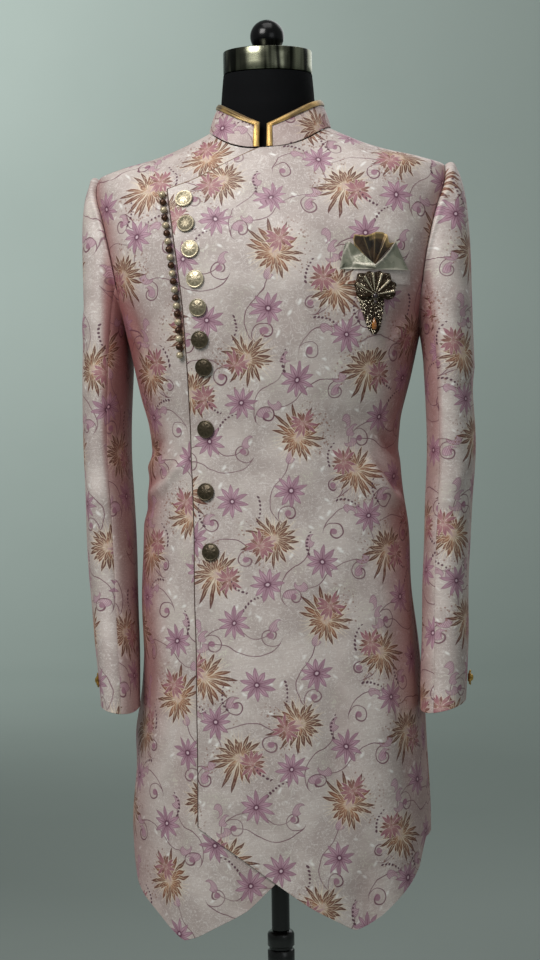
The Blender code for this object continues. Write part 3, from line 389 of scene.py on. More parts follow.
# =====================================================================
# Meshes
# =====================================================================
def grid_mesh(name, outer, inner, uv, painted_light, materials, round_rim=0.0004):
    """Closed shell between two grids, with a rounded rim.  uv is the cloth's own
    flat place in metres; the input after it is painted light per point: rose sheen, shade and highlight."""
    rows, cols = outer.shape[:2]
    n = rows * cols
    loop = ([(0, c) for c in range(cols)] + [(r, cols - 1) for r in range(1, rows)]
            + [(rows - 1, c) for c in range(cols - 2, -1, -1)] + [(r, 0) for r in range(rows - 2, 0, -1)])
    lr = np.array([p[0] for p in loop])
    lc = np.array([p[1] for p in loop])
    # outward direction in the cloth, at the rim
    inr, inc = np.clip(lr, 1, rows - 2), np.clip(lc, 1, cols - 2)
    mid = (outer[lr, lc] + inner[lr, lc]) / 2
    mid_in = (outer[inr, inc] + inner[inr, inc]) / 2
    rim = mid + round_rim * unit(mid - mid_in)
    verts = np.vstack((outer.reshape(-1, 3), inner.reshape(-1, 3), rim))
    r, c = np.meshgrid(np.arange(rows - 1), np.arange(cols - 1), indexing="ij")
    a = (r * cols + c).ravel()
    quads_out = np.stack((a, a + 1, a + cols + 1, a + cols), 1)
    quads_in = quads_out[:, ::-1] + n
    lo = lr * cols + lc
    nxt = np.roll(lo, -1)
    m = 2 * n + np.arange(len(loop))
    mn = np.roll(m, -1)
    rim_a = np.stack((nxt, lo, m, mn), 1)
    rim_b = np.stack((mn, m, lo + n, nxt + n), 1)
    quads = np.vstack((quads_out, quads_in, rim_a, rim_b))
    mesh = bpy.data.meshes.new(name)
    mesh.vertices.add(len(verts))
    mesh.vertices.foreach_set("co", verts.astype(np.float32).ravel())
    mesh.loops.add(len(quads) * 4)
    mesh.polygons.add(len(quads))
    mesh.polygons.foreach_set("loop_start", np.arange(0, len(quads) * 4, 4, dtype=np.int32))
    mesh.loops.foreach_set("vertex_index", quads.astype(np.int32).ravel())
    slot = np.zeros(len(quads), np.int32)
    slot[len(quads_out):len(quads_out) + len(quads_in)] = 1 if len(materials) > 1 else 0
    mesh.polygons.foreach_set("material_index", slot)
    mesh.update(calc_edges=True)
    mesh.validate()
    # faces point out of the wall
    centre = verts[quads].mean(1)
    cross = np.cross(verts[quads[:, 2]] - verts[quads[:, 0]], verts[quads[:, 3]] - verts[quads[:, 1]])
    volume = float((centre * cross).sum()) / 6
    if volume < 0:
        mesh.flip_normals()
    index = np.empty(len(mesh.loops), np.int32)
    mesh.loops.foreach_get("vertex_index", index)
    flat = uv.reshape(-1, 2)
    flat_all = np.vstack((flat, flat, flat[lo]))
    layer = mesh.uv_layers.new(name="Cloth")
    layer.data.foreach_set("uv", flat_all[index].astype(np.float32).ravel())
    # painted light kept per point: rose sheen and shade on the brocade, highlights on the silk
    if painted_light is not None:
        rr = painted_light.ravel()
        attr = mesh.attributes.new("PaintedLight", "FLOAT", "POINT")
        attr.data.foreach_set("value", np.concatenate((rr, rr, rr[lo])).astype(np.float32))
    for mat in materials:
        mesh.materials.append(mat)
    mesh.shade_smooth()
    mesh.set_sharp_from_angle(angle=math.radians(58))
    obj = bpy.data.objects.new(name, mesh)
    bpy.context.scene.collection.objects.link(obj)
    return obj


def flatten(points, steps=1500):
    """Lay a grid of points flat with its edges at their real length, as the
    pattern piece it was cut from.  Returns the flat places and the flat area."""
    rows, cols = points.shape[:2]
    step_u = np.linalg.norm(np.diff(points, axis=1), axis=2)
    step_v = np.linalg.norm(np.diff(points, axis=0), axis=2)
    u = np.zeros((rows, cols))
    u[:, 1:] = np.cumsum(step_u, axis=1)
    u -= u[:, cols // 2][:, None]
    v = np.zeros((rows, cols))
    v[1:] = np.cumsum(step_v, axis=0)
    mid = v[:, cols // 2][:, None]
    v = 0.5 * v + 0.5 * mid
    p = np.stack((u, v), -1)
    links = []
    idx = np.arange(rows * cols).reshape(rows, cols)
    flat3 = points.reshape(-1, 3)
    for dr, dc in ((0, 1), (1, 0), (1, 1), (1, -1), (0, 2), (2, 0)):
        r0, r1 = 0, rows - dr
        c0, c1 = max(0, -dc), cols - max(0, dc)
        a = idx[r0:r1, c0:c1].ravel()
        b = idx[r0 + dr:r1 + dr, c0 + dc:c1 + dc].ravel()
        links.append((a, b))
    a = np.concatenate([x[0] for x in links])
    b = np.concatenate([x[1] for x in links])
    want = np.linalg.norm(flat3[a] - flat3[b], axis=1)
    q = p.reshape(-1, 2).copy()
    degree = np.bincount(a, minlength=len(q)) + np.bincount(b, minlength=len(q))
    for _ in range(steps):
        d = q[b] - q[a]
        length = np.maximum(np.linalg.norm(d, axis=1), 1e-9)
        push = 0.5 * (1 - want / length)[:, None] * d
        move = np.stack([np.bincount(a, push[:, k], len(q)) - np.bincount(b, push[:, k], len(q)) for k in (0, 1)], 1)
        q += 1.6 * move / degree[:, None]
    q = q.reshape(rows, cols, 2)
    # grain upright
    line = q[-1, cols // 2] - q[0, cols // 2]
    t = math.atan2(line[0], line[1])
    q = q @ np.array(((math.cos(t), math.sin(t)), (-math.sin(t), math.cos(t))))
    e1, e2 = q[1:, 1:] - q[:-1, :-1], q[1:, :-1] - q[:-1, 1:]
    area = float(np.abs(e1[..., 0] * e2[..., 1] - e1[..., 1] * e2[..., 0]).sum() / 2)
    return q, area


def regrid(coarse, rows, cols, r_at, c_at):
    """Read a coarse grid of any columns at fine fractional rows and columns."""
    R, C = coarse.shape[:2]
    r = np.clip(r_at, 0, R - 1)
    c = np.clip(c_at, 0, C - 1)
    r0 = np.clip(np.floor(r).astype(int), 0, R - 2)
    c0 = np.clip(np.floor(c).astype(int), 0, C - 2)
    fr, fc = (r - r0)[..., None], (c - c0)[..., None]
    return ((1 - fr) * (1 - fc) * coarse[r0, c0] + (1 - fr) * fc * coarse[r0, c0 + 1]
            + fr * (1 - fc) * coarse[r0 + 1, c0] + fr * fc * coarse[r0 + 1, c0 + 1])


def trim(grid, amount):
    out = grid.copy()
    out[:, 0] += amount * unit(grid[:, 1] - grid[:, 0])
    out[:, -1] += amount * unit(grid[:, -2] - grid[:, -1])
    out[0] += amount * unit(grid[1] - grid[0])
    out[-1] += amount * unit(grid[-2] - grid[-1])
    return out


# =====================================================================
# Materials.  Everything is worked out by nodes.
# =====================================================================
def srgb(r, g, b):
    def lin(c):
        c /= 255.0
        return c / 12.92 if c <= 0.04045 else ((c + 0.055) / 1.055) ** 2.4
    return (lin(r), lin(g), lin(b), 1.0)


class Net:
    """Short-hand for building a node tree."""

    def __init__(self, tree):
        self.tree = tree

    def node(self, kind, **props):
        n = self.tree.nodes.new(kind)
        for k, v in props.items():
            setattr(n, k, v)
        return n

    def put(self, socket, value):
        if isinstance(value, bpy.types.NodeSocket):
            self.tree.links.new(value, socket)
        elif value is not None:
            if socket.type == "RGBA" and len(value) == 3:
                value = (*value, 1.0)
            socket.default_value = value

    def m(self, op, a, b=None, c=None, clamp=False):
        n = self.node("ShaderNodeMath", operation=op, use_clamp=clamp)
        for s, v in zip(n.inputs, (a, b, c)):
            if v is not None:
                self.put(s, v)
        return n.outputs[0]

    def v(self, op, a, b=None, c=None):
        n = self.node("ShaderNodeVectorMath", operation=op)
        for s, v in zip(n.inputs, (a, b, c)):
            if v is not None:
                self.put(s, v)
        return n.outputs["Value"] if op in ("LENGTH", "DOT_PRODUCT", "DISTANCE") else n.outputs["Vector"]

    def scale(self, a, by):
        n = self.node("ShaderNodeVectorMath", operation="SCALE")
        self.put(n.inputs[0], a)
        self.put(n.inputs["Scale"], by)
        return n.outputs["Vector"]

    def pick(self, f, a, b):
        """a where f is 0, b where f is 1, for vectors."""
        n = self.node("ShaderNodeMix", data_type="VECTOR", clamp_factor=False)
        self.put(n.inputs[0], f)
        self.put(n.inputs[4], a)
        self.put(n.inputs[5], b)
        return n.outputs[1]

    def mix(self, f, a, b, blend="MIX"):
        n = self.node("ShaderNodeMix", data_type="RGBA", blend_type=blend, clamp_factor=True)
        self.put(n.inputs[0], f)
        self.put(n.inputs[6], a)
        self.put(n.inputs[7], b)
        return n.outputs[2]

    def fit(self, x, lo, hi, to_lo=0.0, to_hi=1.0, smooth=False):
        n = self.node("ShaderNodeMapRange", clamp=True, interpolation_type="SMOOTHSTEP" if smooth else "LINEAR")
        for s, v in zip(n.inputs, (x, lo, hi, to_lo, to_hi)):
            self.put(s, v)
        return n.outputs[0]

    def noise(self, vector, scale, detail=2.0, rough=0.5, distort=0.0, color=False):
        n = self.node("ShaderNodeTexNoise", noise_dimensions="3D")
        self.put(n.inputs["Vector"], vector)
        n.inputs["Scale"].default_value = scale
        n.inputs["Detail"].default_value = detail
        n.inputs["Roughness"].default_value = rough
        n.inputs["Distortion"].default_value = distort
        return n.outputs["Color" if color else "Fac"]

    def voronoi(self, vector, scale, feature="F1", out="Distance", random=1.0, dims="3D"):
        n = self.node("ShaderNodeTexVoronoi", voronoi_dimensions=dims, feature=feature)
        self.put(n.inputs["Vector"], vector)
        n.inputs["Scale"].default_value = scale
        n.inputs["Randomness"].default_value = random
        return n.outputs[out]

    def white(self, w):
        n = self.node("ShaderNodeTexWhiteNoise", noise_dimensions="1D")
        self.put(n.inputs["W"], w)
        return n.outputs["Value"]

    def xyz(self, v):
        n = self.node("ShaderNodeSeparateXYZ")
        self.put(n.inputs[0], v)
        return n.outputs[0], n.outputs[1], n.outputs[2]

    def join(self, x, y, z=0.0):
        n = self.node("ShaderNodeCombineXYZ")
        for s, v in zip(n.inputs, (x, y, z)):
            self.put(s, v)
        return n.outputs[0]

    def uv(self, name="Cloth"):
        return self.node("ShaderNodeUVMap", uv_map=name).outputs[0]

    def attr(self, name):
        return self.node("ShaderNodeAttribute", attribute_type="GEOMETRY", attribute_name=name).outputs["Fac"]

    def place(self):
        return self.node("ShaderNodeTexCoord").outputs["Object"]

    def bump(self, height, strength, distance, normal=None):
        n = self.node("ShaderNodeBump")
        n.inputs["Strength"].default_value = strength
        n.inputs["Distance"].default_value = distance
        self.put(n.inputs["Height"], height)
        if normal is not None:
            self.put(n.inputs["Normal"], normal)
        return n.outputs[0]


def new_material(name, rough=0.5, metal=0.0, look=(128, 128, 128), **fixed):
    """A Principled material.  fixed: socket values that are the same all over."""
    mat = bpy.data.materials.new(name)
    mat.use_nodes = True
    shader = mat.node_tree.nodes["Principled BSDF"]
    shader.inputs["Base Color"].default_value = srgb(*look)
    shader.inputs["Roughness"].default_value = rough
    shader.inputs["Metallic"].default_value = metal
    for k, v in fixed.items():
        shader.inputs[k.replace("_", " ")].default_value = v
    mat.diffuse_color = srgb(*look)
    return mat, Net(mat.node_tree), shader


# ------------------------------------------------ the printed brocade
REPEAT_U, REPEAT_V = 0.220, 0.226
# Own layout of the repeat, in metres.  x, y, turn (rad)
DAISIES = [
    (0.034, 0.030, 0.20),
    (0.104, 0.012, 0.95),
    (0.188, 0.078, 0.45),
    (0.060, 0.122, 0.70),
    (0.150, 0.196, 0.10),
    (0.132, 0.118, 1.30),
]
ASTERS = [
    (0.088, 0.066, 0.30),
    (0.196, 0.136, 1.40),
    (0.040, 0.186, 2.60),
    (0.164, 0.032, 4.30),
]
# Tendrils: a curl and its stem.  curl x, y, turn (rad), hand, then (radius, sweep in deg) runs
TENDRILS = [
    (0.014, 0.064, 0.4, 1, ((0.0360, 92), (0.0240, 84))),
    (0.124, 0.044, 2.6, 0, ((0.0440, 80), (0.0260, 78))),
    (0.066, 0.094, 5.4, 1, ((0.0320, 104), (0.0460, 40))),
    (0.160, 0.094, 1.2, 0, ((0.0380, 92), (0.0240, 88))),
    (0.108, 0.176, 3.9, 1, ((0.0420, 90), (0.0280, 70))),
    (0.006, 0.120, 4.6, 0, ((0.0340, 100), (0.0500, 36))),
    (0.180, 0.172, 0.9, 1, ((0.0380, 84), (0.0200, 110))),
    (0.208, 0.010, 2.0, 0, ((0.0440, 76), (0.0260, 64))),
    (0.074, 0.218, 5.9, 1, ((0.0320, 98), (0.0230, 80))),
]
# Rows of dots.  x, y of the middle, turn
DOT_ROWS = [
    (0.050, 0.056, 1.75), (0.138, 0.008, 0.70), (0.098, 0.104, 4.9), (0.176, 0.106, 1.5), (0.126, 0.220, 2.6),
    (0.006, 0.160, 2.0), (0.210, 0.100, 3.6),
]
DOT_STEP, DOT_HALF_COUNT = 0.0047, 3.6
CURL_OUT, CURL_IN, CURL_PITCH = 0.0140, 0.0034, 0.0098


def nearest(net, P, seeds):
    """Offset from the nearest of the seeds, wrapped over the repeat.  Its z
    carries the seed's turn, made tiny so that it doesn't count in lengths."""
    best = best_len = None
    for x, y, turn in seeds:
        d = net.v("SUBTRACT", P, (x, y, -turn * 1e-5))
        d = net.v("WRAP", d, (REPEAT_U / 2, REPEAT_V / 2, 9.0), (-REPEAT_U / 2, -REPEAT_V / 2, -9.0))
        length = net.v("LENGTH", d)
        if best is None:
            best, best_len = d, length
        else:
            closer = net.m("LESS_THAN", length, best_len)
            best = net.pick(closer, best, d)
            best_len = net.m("MINIMUM", length, best_len)
    return best, best_len


def turned(net, d, L):
    """The offset's polar angle in the motif's own frame, its turn, and x, y there."""
    x, y, z = net.xyz(d)
    turn = net.m("MULTIPLY", z, 1e5)
    ang = net.m("SUBTRACT", net.m("ARCTAN2", y, x), turn)
    return ang, turn, net.m("MULTIPLY", L, net.m("COSINE", ang)), net.m("MULTIPLY", L, net.m("SINE", ang))


def petal_ring(net, turn_angle, L, count, start, reach, width, belly, point, phase, vary=0.0, lop=None):
    """Distance inside a ring of pointed petals (positive inside), the share of
    the way out, the distance from the petal's mid line, and a random number."""
    pitch = 2 * math.pi / count
    q = net.m("MULTIPLY_ADD", turn_angle, 1 / pitch, phase / pitch)
    k = net.m("FLOOR", q)
    a = net.m("MULTIPLY_ADD", net.m("FRACT", q), pitch, -pitch / 2)
    rnd = net.white(net.m("MODULO", net.m("ADD", k, 4.0 * count), float(count)))
    if vary > 0:
        far = net.m("MULTIPLY_ADD", rnd, vary * reach, reach * (1 - vary))
        a = net.m("SUBTRACT", a, net.m("MULTIPLY_ADD", net.m("FRACT", net.m("MULTIPLY", rnd, 7.31)),
                                       0.36 * pitch, -0.18 * pitch))
    else:
        far = reach
    if lop is not None:
        far = net.m("MULTIPLY", far, lop)
    lat = net.m("MULTIPLY", L, net.m("ABSOLUTE", a))
    t = net.fit(L, start, far)
    h = net.m("MULTIPLY", net.m("POWER", t, belly), net.m("POWER", net.m("SUBTRACT", 1.0, t), point))
    inside = net.m("MULTIPLY_ADD", h, width, net.m("MULTIPLY", lat, -1.0))
    return inside, t, lat, rnd


def leaf_ring(net, turn_angle, L, count, root, reach, width, stalk, phase, vary, lop=None):
    """As petal_ring, but each petal is a pointed leaf that opens at root, a
    share of its reach, and hangs on a thin stalk."""
    pitch = 2 * math.pi / count
    q = net.m("MULTIPLY_ADD", turn_angle, 1 / pitch, phase / pitch)
    k = net.m("FLOOR", q)
    a = net.m("MULTIPLY_ADD", net.m("FRACT", q), pitch, -pitch / 2)
    rnd = net.white(net.m("MODULO", net.m("ADD", k, 4.0 * count), float(count)))
    far = net.m("MULTIPLY_ADD", rnd, vary * reach, reach * (1 - vary))
    a = net.m("SUBTRACT", a, net.m("MULTIPLY_ADD", net.m("FRACT", net.m("MULTIPLY", rnd, 7.31)),
                                   0.9 * vary * pitch, -0.45 * vary * pitch))
    if lop is not None:
        far = net.m("MULTIPLY", far, lop)
    lat = net.m("MULTIPLY", L, net.m("ABSOLUTE", a))
    share = net.m("DIVIDE", L, far)
    t = net.fit(share, root, 1.0)
    h = net.m("MULTIPLY", net.m("POWER", t, 0.75), net.m("POWER", net.m("SUBTRACT", 1.0, t), 0.95))
    inside = net.m("SUBTRACT", net.m("MULTIPLY_ADD", h, width, -0.0004), lat)
    if stalk > 0:
        line = net.m("MINIMUM", net.m("SUBTRACT", stalk, lat),
                     net.m("MULTIPLY", net.m("SUBTRACT", root + 0.14, share), 0.01))
        inside = net.m("MAXIMUM", inside, line)
    return inside, t, lat, rnd


def edge(net, x, soft):
    """0 to 1 across a soft edge at x = 0."""
    return net.m("MULTIPLY_ADD", x, 1.0 / soft, 0.5, clamp=True)


def stem_arcs(tendril):
    """Centre, radius, mid direction and half angle of each run of a stem.  It
    leaves the curl's outer end along the curl."""
    x, y, turn, hand, runs = tendril
    s = -1 if hand else 1
    # the curl's outer end lies on its own +x axis, heading along -y of its frame
    ex, ey = x + CURL_OUT * math.cos(turn), y + CURL_OUT * math.sin(turn)
    h = turn - s * math.pi / 2
    out = []
    for i, (radius, sweep) in enumerate(runs):
        bend_to = -s if i == 0 else s
        cx, cy = ex - bend_to * radius * math.sin(h), ey + bend_to * radius * math.cos(h)
        a0 = math.atan2(ey - cy, ex - cx)
        half = math.radians(sweep) / 2
        out.append((cx, cy, radius, a0 + bend_to * half, half))
        a1 = a0 + bend_to * 2 * half
        ex, ey = cx + radius * math.cos(a1), cy + radius * math.sin(a1)
        h += bend_to * 2 * half
    return out, (ex, ey, h)


# Curled leaves, in pairs where the stems end.  x, y, turn
LEAVES = []
for _i, _t in enumerate(TENDRILS):
    _x, _y, _h = stem_arcs(_t)[1]
    LEAVES.append((_x + 0.0050 * math.cos(_h + 0.5), _y + 0.0050 * math.sin(_h + 0.5), _h + 0.4))
    if _i % 2:
        LEAVES.append((_x + 0.0165 * math.cos(_h - 0.5), _y + 0.0165 * math.sin(_h - 0.5), _h + 2.9))


def print_group():
    """The flower print.  In: cloth place in metres and the ground's colour.
    Out: the colour, and how much of the ground the print covers."""
    tree = bpy.data.node_groups.new("flower_print", "ShaderNodeTree")
    tree.interface.new_socket("Place", in_out="INPUT", socket_type="NodeSocketVector")
    tree.interface.new_socket("Ground", in_out="INPUT", socket_type="NodeSocketColor")
    tree.interface.new_socket("Color", in_out="OUTPUT", socket_type="NodeSocketColor")
    tree.interface.new_socket("Cover", in_out="OUTPUT", socket_type="NodeSocketFloat")
    net = Net(tree)
    gin = net.node("NodeGroupInput")
    P = net.v("MULTIPLY", gin.outputs["Place"], (1.0, 1.0, 0.0))
    ground = gin.outputs["Ground"]
    # a hand-drawn waver of the lines
    shake = net.v("SUBTRACT", net.noise(P, 48.0, 1.0, color=True), (0.5, 0.5, 0.5))
    Q = net.v("MULTIPLY_ADD", shake, (0.0046, 0.0046, 0.0), P)
    brush = net.noise(P, 300.0, 2.0, 0.6)
    faint = net.noise(P, 26.0, 1.0)

    # tendrils: stems, then curls
    line = None
    for tendril in TENDRILS:
        for cx, cy, radius, mid, half in stem_arcs(tendril)[0]:
            d = net.v("WRAP", net.v("SUBTRACT", Q, (cx, cy, 0.0)),
                      (REPEAT_U / 2, REPEAT_V / 2, 9.0), (-REPEAT_U / 2, -REPEAT_V / 2, -9.0))
            L = net.v("LENGTH", d)
            off = net.m("ABSOLUTE", net.m("SUBTRACT", L, radius))
            m = net.v("DOT_PRODUCT", d, (math.cos(mid), math.sin(mid), 0.0))
            out = net.m("LESS_THAN", m, net.m("MULTIPLY", L, math.cos(half)))
            e = net.m("ADD", off, out)
            line = e if line is None else net.m("MINIMUM", line, e)
    d, L = nearest(net, Q, [(x, y, turn + 20.0 * hand) for x, y, turn, hand, runs in TENDRILS])
    x, y, z = net.xyz(d)
    z = net.m("MULTIPLY", z, 1e5)
    hand = net.m("GREATER_THAN", z, 10.0)
    turn = net.m("MULTIPLY_ADD", hand, -20.0, z)
    ang = net.m("SUBTRACT", net.m("ARCTAN2", y, x), turn)
    ang = net.m("MULTIPLY", ang, net.m("MULTIPLY_ADD", hand, 2.0, -1.0))
    around = net.m("MULTIPLY_ADD", net.m("SUBTRACT", CURL_OUT, L), -1.0 / CURL_PITCH,
                   net.m("MULTIPLY", ang, 0.5 / math.pi))
    curl = net.m("MULTIPLY", net.m("ABSOLUTE", net.m("SUBTRACT", net.m("FRACT", net.m("ADD", around, 0.5)), 0.5)),
                 CURL_PITCH)
    curl = net.m("ADD", curl, net.m("ADD", net.m("GREATER_THAN", L, CURL_OUT + 0.0003), net.m("LESS_THAN", L, CURL_IN)))
    fat = net.fit(L, 0.0120, 0.0040, 0.00055, 0.00120)
    line_mask = net.m("SUBTRACT", 1.0, edge(net, net.m("SUBTRACT", line, 0.00055), 0.0006))
    curl_mask = net.m("SUBTRACT", 1.0, edge(net, net.m("SUBTRACT", curl, fat), 0.0006))
    blob = net.v("LENGTH", net.v("SUBTRACT", net.v("MULTIPLY", d, (1.0, 1.0, 0.0)), (0.0010, 0.0012, 0.0)))
    blob_mask = net.m("SUBTRACT", 1.0, edge(net, net.m("SUBTRACT", blob, 0.0040), 0.0010))
    line_mask = net.m("MULTIPLY", net.m("MAXIMUM", line_mask, curl_mask), net.fit(faint, 0.30, 0.60, 0.62, 1.0))
    color = net.mix(line_mask, ground, srgb(112, 70, 84))
    color = net.mix(net.m("MULTIPLY", blob_mask, 0.80), color, srgb(150, 100, 124))
    cover = net.m("MAXIMUM", line_mask, net.m("MULTIPLY", blob_mask, 0.8))

    # leaves: a curled comma, the crescent left by one disc cut from another, hatched
    d, L = nearest(net, Q, LEAVES)
    ang, turn, lx, ly = turned(net, d, L)
    body = net.v("LENGTH", net.join(net.m("DIVIDE", lx, 1.60), ly))
    bite = net.v("LENGTH", net.join(net.m("SUBTRACT", lx, 0.0044), net.m("SUBTRACT", ly, 0.0044)))
    leaf = net.m("MINIMUM", net.m("SUBTRACT", 0.0058, body), net.m("SUBTRACT", bite, 0.0050))
    leaf_mask = edge(net, leaf, 0.0005)
    leaf_rim = net.m("SUBTRACT", 1.0, net.fit(leaf, 0.0003, 0.0012))
    hatch = net.m("GREATER_THAN", net.m("SINE", net.m("MULTIPLY", net.m("ADD", lx, net.m("MULTIPLY", ly, 0.5)),
                                                         3300.0)), 0.10)
    leaf_col = net.mix(net.m("MAXIMUM", net.m("MULTIPLY", leaf_rim, 0.80), net.m("MULTIPLY", hatch, 0.60)),
                       srgb(200, 166, 178), srgb(122, 78, 98))
    color = net.mix(net.m("MULTIPLY", leaf_mask, 0.82), color, leaf_col)
    cover = net.m("MAXIMUM", cover, leaf_mask)

    # asters: two tiers of narrow lopsided petals, and a smaller rusty fan on one side
    d, L = nearest(net, Q, ASTERS)
    ang, turn, lx, ly = turned(net, d, L)
    ang20 = net.m("ADD", ang, 20 * math.pi)
    lop = net.m("MULTIPLY_ADD", net.m("COSINE", net.m("MULTIPLY_ADD", turn, 2.7, ang)), 0.17, 0.93)
    lop = net.m("MULTIPLY_ADD", net.m("COSINE", net.m("MULTIPLY_ADD", ang, 2.0, turn)), 0.08, lop)
    a_in, a_t, a_lat, a_rnd = leaf_ring(net, ang20, L, 21, 0.33, 0.0410, 0.0088, 0.00050, 0.0, 0.42, lop)
    b_in, b_t, b_lat, b_rnd = leaf_ring(net, ang20, L, 17, 0.25, 0.0290, 0.0082, 0.00050, 0.19, 0.44, lop)
    sx, sy = net.m("SUBTRACT", lx, 0.0150), net.m("ADD", ly, 0.0100)
    SL = net.v("LENGTH", net.join(sx, sy))
    sang = net.m("ADD", net.m("ARCTAN2", sy, sx), 20 * math.pi)
    c_in, c_t, c_lat, c_rnd = leaf_ring(net, sang, SL, 14, 0.16, 0.0218, 0.0078, 0.00040, 0.3, 0.42)
    base = net.m("MULTIPLY", net.fit(L, 0.0280, 0.0130), net.fit(brush, 0.30, 0.50, 0.65, 1.0))
    color = net.mix(net.m("MULTIPLY", base, 0.54), color, srgb(230, 216, 196))
    halo = net.m("MULTIPLY", edge(net, net.m("ADD", net.m("MAXIMUM", a_in, b_in), 0.0008), 0.0008),
                 net.fit(L, 0.0360, 0.0290))
    color = net.mix(net.m("MULTIPLY", halo, 0.54), color, srgb(232, 216, 192))
    dry = net.fit(brush, 0.34, 0.50, 0.78, 1.0)
    warm = net.m("MULTIPLY", net.m("SINE", net.m("MULTIPLY_ADD", turn, 1.9, 0.6)), 0.30)
    petal_a = net.mix(net.fit(a_t, 0.0, 0.80), srgb(160, 97, 62), srgb(112, 56, 38))
    petal_a = net.mix(net.m("MULTIPLY", net.fit(net.m("ADD", a_rnd, warm), 0.40, 0.66), 0.86), petal_a, srgb(84, 33, 29))
    a_mask = net.m("MULTIPLY", edge(net, a_in, 0.0006), dry)
    color = net.mix(net.m("MULTIPLY", a_mask, 0.97), color, petal_a)
    split = net.m("MULTIPLY", net.fit(a_lat, 0.00080, 0.00030), net.fit(a_t, 0.80, 0.40))
    color = net.mix(net.m("MULTIPLY", net.m("MULTIPLY", split, a_mask), 0.44), color, srgb(226, 202, 168))
    petal_b = net.mix(net.fit(b_t, 0.0, 0.8), srgb(170, 110, 74), srgb(118, 62, 42))
    petal_b = net.mix(net.m("MULTIPLY", net.fit(net.m("ADD", b_rnd, warm), 0.42, 0.68), 0.84), petal_b, srgb(98, 44, 35))
    b_mask = net.m("MULTIPLY", edge(net, b_in, 0.0006), dry)
    b_rim = net.m("MULTIPLY", edge(net, net.m("ADD", b_in, 0.0007), 0.0006), net.fit(L, 0.026, 0.021))
    color = net.mix(net.m("MULTIPLY", b_rim, 0.65), color, srgb(234, 216, 190))
    petal_b = net.mix(net.m("MULTIPLY", net.fit(b_lat, 0.00085, 0.00030), net.fit(b_t, 0.80, 0.40, 0.0, 0.45)), petal_b,
                      srgb(230, 208, 176))
    color = net.mix(net.m("MULTIPLY", b_mask, 0.93), color, petal_b)
    c_mask = net.m("MULTIPLY", edge(net, c_in, 0.0006), dry)
    c_rim = net.m("MULTIPLY", edge(net, net.m("ADD", c_in, 0.0007), 0.0006), net.fit(SL, 0.019, 0.015))
    petal_c = net.mix(net.m("GREATER_THAN", c_rnd, 0.45), srgb(112, 54, 42), srgb(148, 88, 104))
    petal_c = net.mix(net.fit(c_t, 0.6, 0.1, 0.0, 0.30), petal_c, srgb(206, 160, 146))
    color = net.mix(net.m("MULTIPLY", c_rim, 0.60), color, srgb(228, 206, 196))
    petal_c = net.mix(net.fit(c_in, 0.0012, 0.0022, 0.0, 0.28), petal_c, srgb(190, 146, 140))
    color = net.mix(net.m("MULTIPLY", c_mask, 0.92), color, petal_c)
    heart = net.m("MULTIPLY", net.fit(L, 0.0070, 0.0030), net.fit(brush, 0.34, 0.50))
    color = net.mix(net.m("MULTIPLY", heart, 0.50), color, srgb(220, 198, 192))
    cover = net.m("MAXIMUM", cover, net.m("MAXIMUM", c_mask, net.m("MAXIMUM", a_mask, b_mask)))
    # brown specks scattered on one side of each aster
    speck = net.voronoi(Q, 230.0, random=0.9)
    near = net.m("MULTIPLY", net.fit(L, 0.052, 0.040), net.fit(L, 0.022, 0.030))
    patch = net.m("GREATER_THAN", net.m("COSINE", net.m("MULTIPLY_ADD", turn, 2.3, ang)), 0.45)
    specks = net.m("MULTIPLY", net.m("MULTIPLY", net.m("LESS_THAN", speck, 0.30), near), patch)
    color = net.mix(net.m("MULTIPLY", specks, 0.62), color, srgb(132, 86, 68))

    # rows of dots along a bent line
    d, L = nearest(net, Q, DOT_ROWS)
    ang, turn, lx, ly = turned(net, d, L)
    side = net.m("SUBTRACT", ly, net.m("MULTIPLY", net.m("MULTIPLY", lx, lx), 17.0))
    step = net.m("DIVIDE", lx, DOT_STEP)
    along = net.m("MULTIPLY", net.m("SUBTRACT", step, net.m("ROUND", step)), DOT_STEP)
    size = net.m("MULTIPLY_ADD", step, 0.00012, -0.00142)
    dots = net.m("ADD", net.v("LENGTH", net.join(along, side)), size)
    dot_mask = net.m("SUBTRACT", 1.0, edge(net, dots, 0.0005))
    dot_mask = net.m("MULTIPLY", dot_mask, net.m("LESS_THAN", net.m("ABSOLUTE", step), DOT_HALF_COUNT))
    color = net.mix(net.m("MULTIPLY", dot_mask, 0.95), color, srgb(88, 50, 66))
    cover = net.m("MAXIMUM", cover, dot_mask)

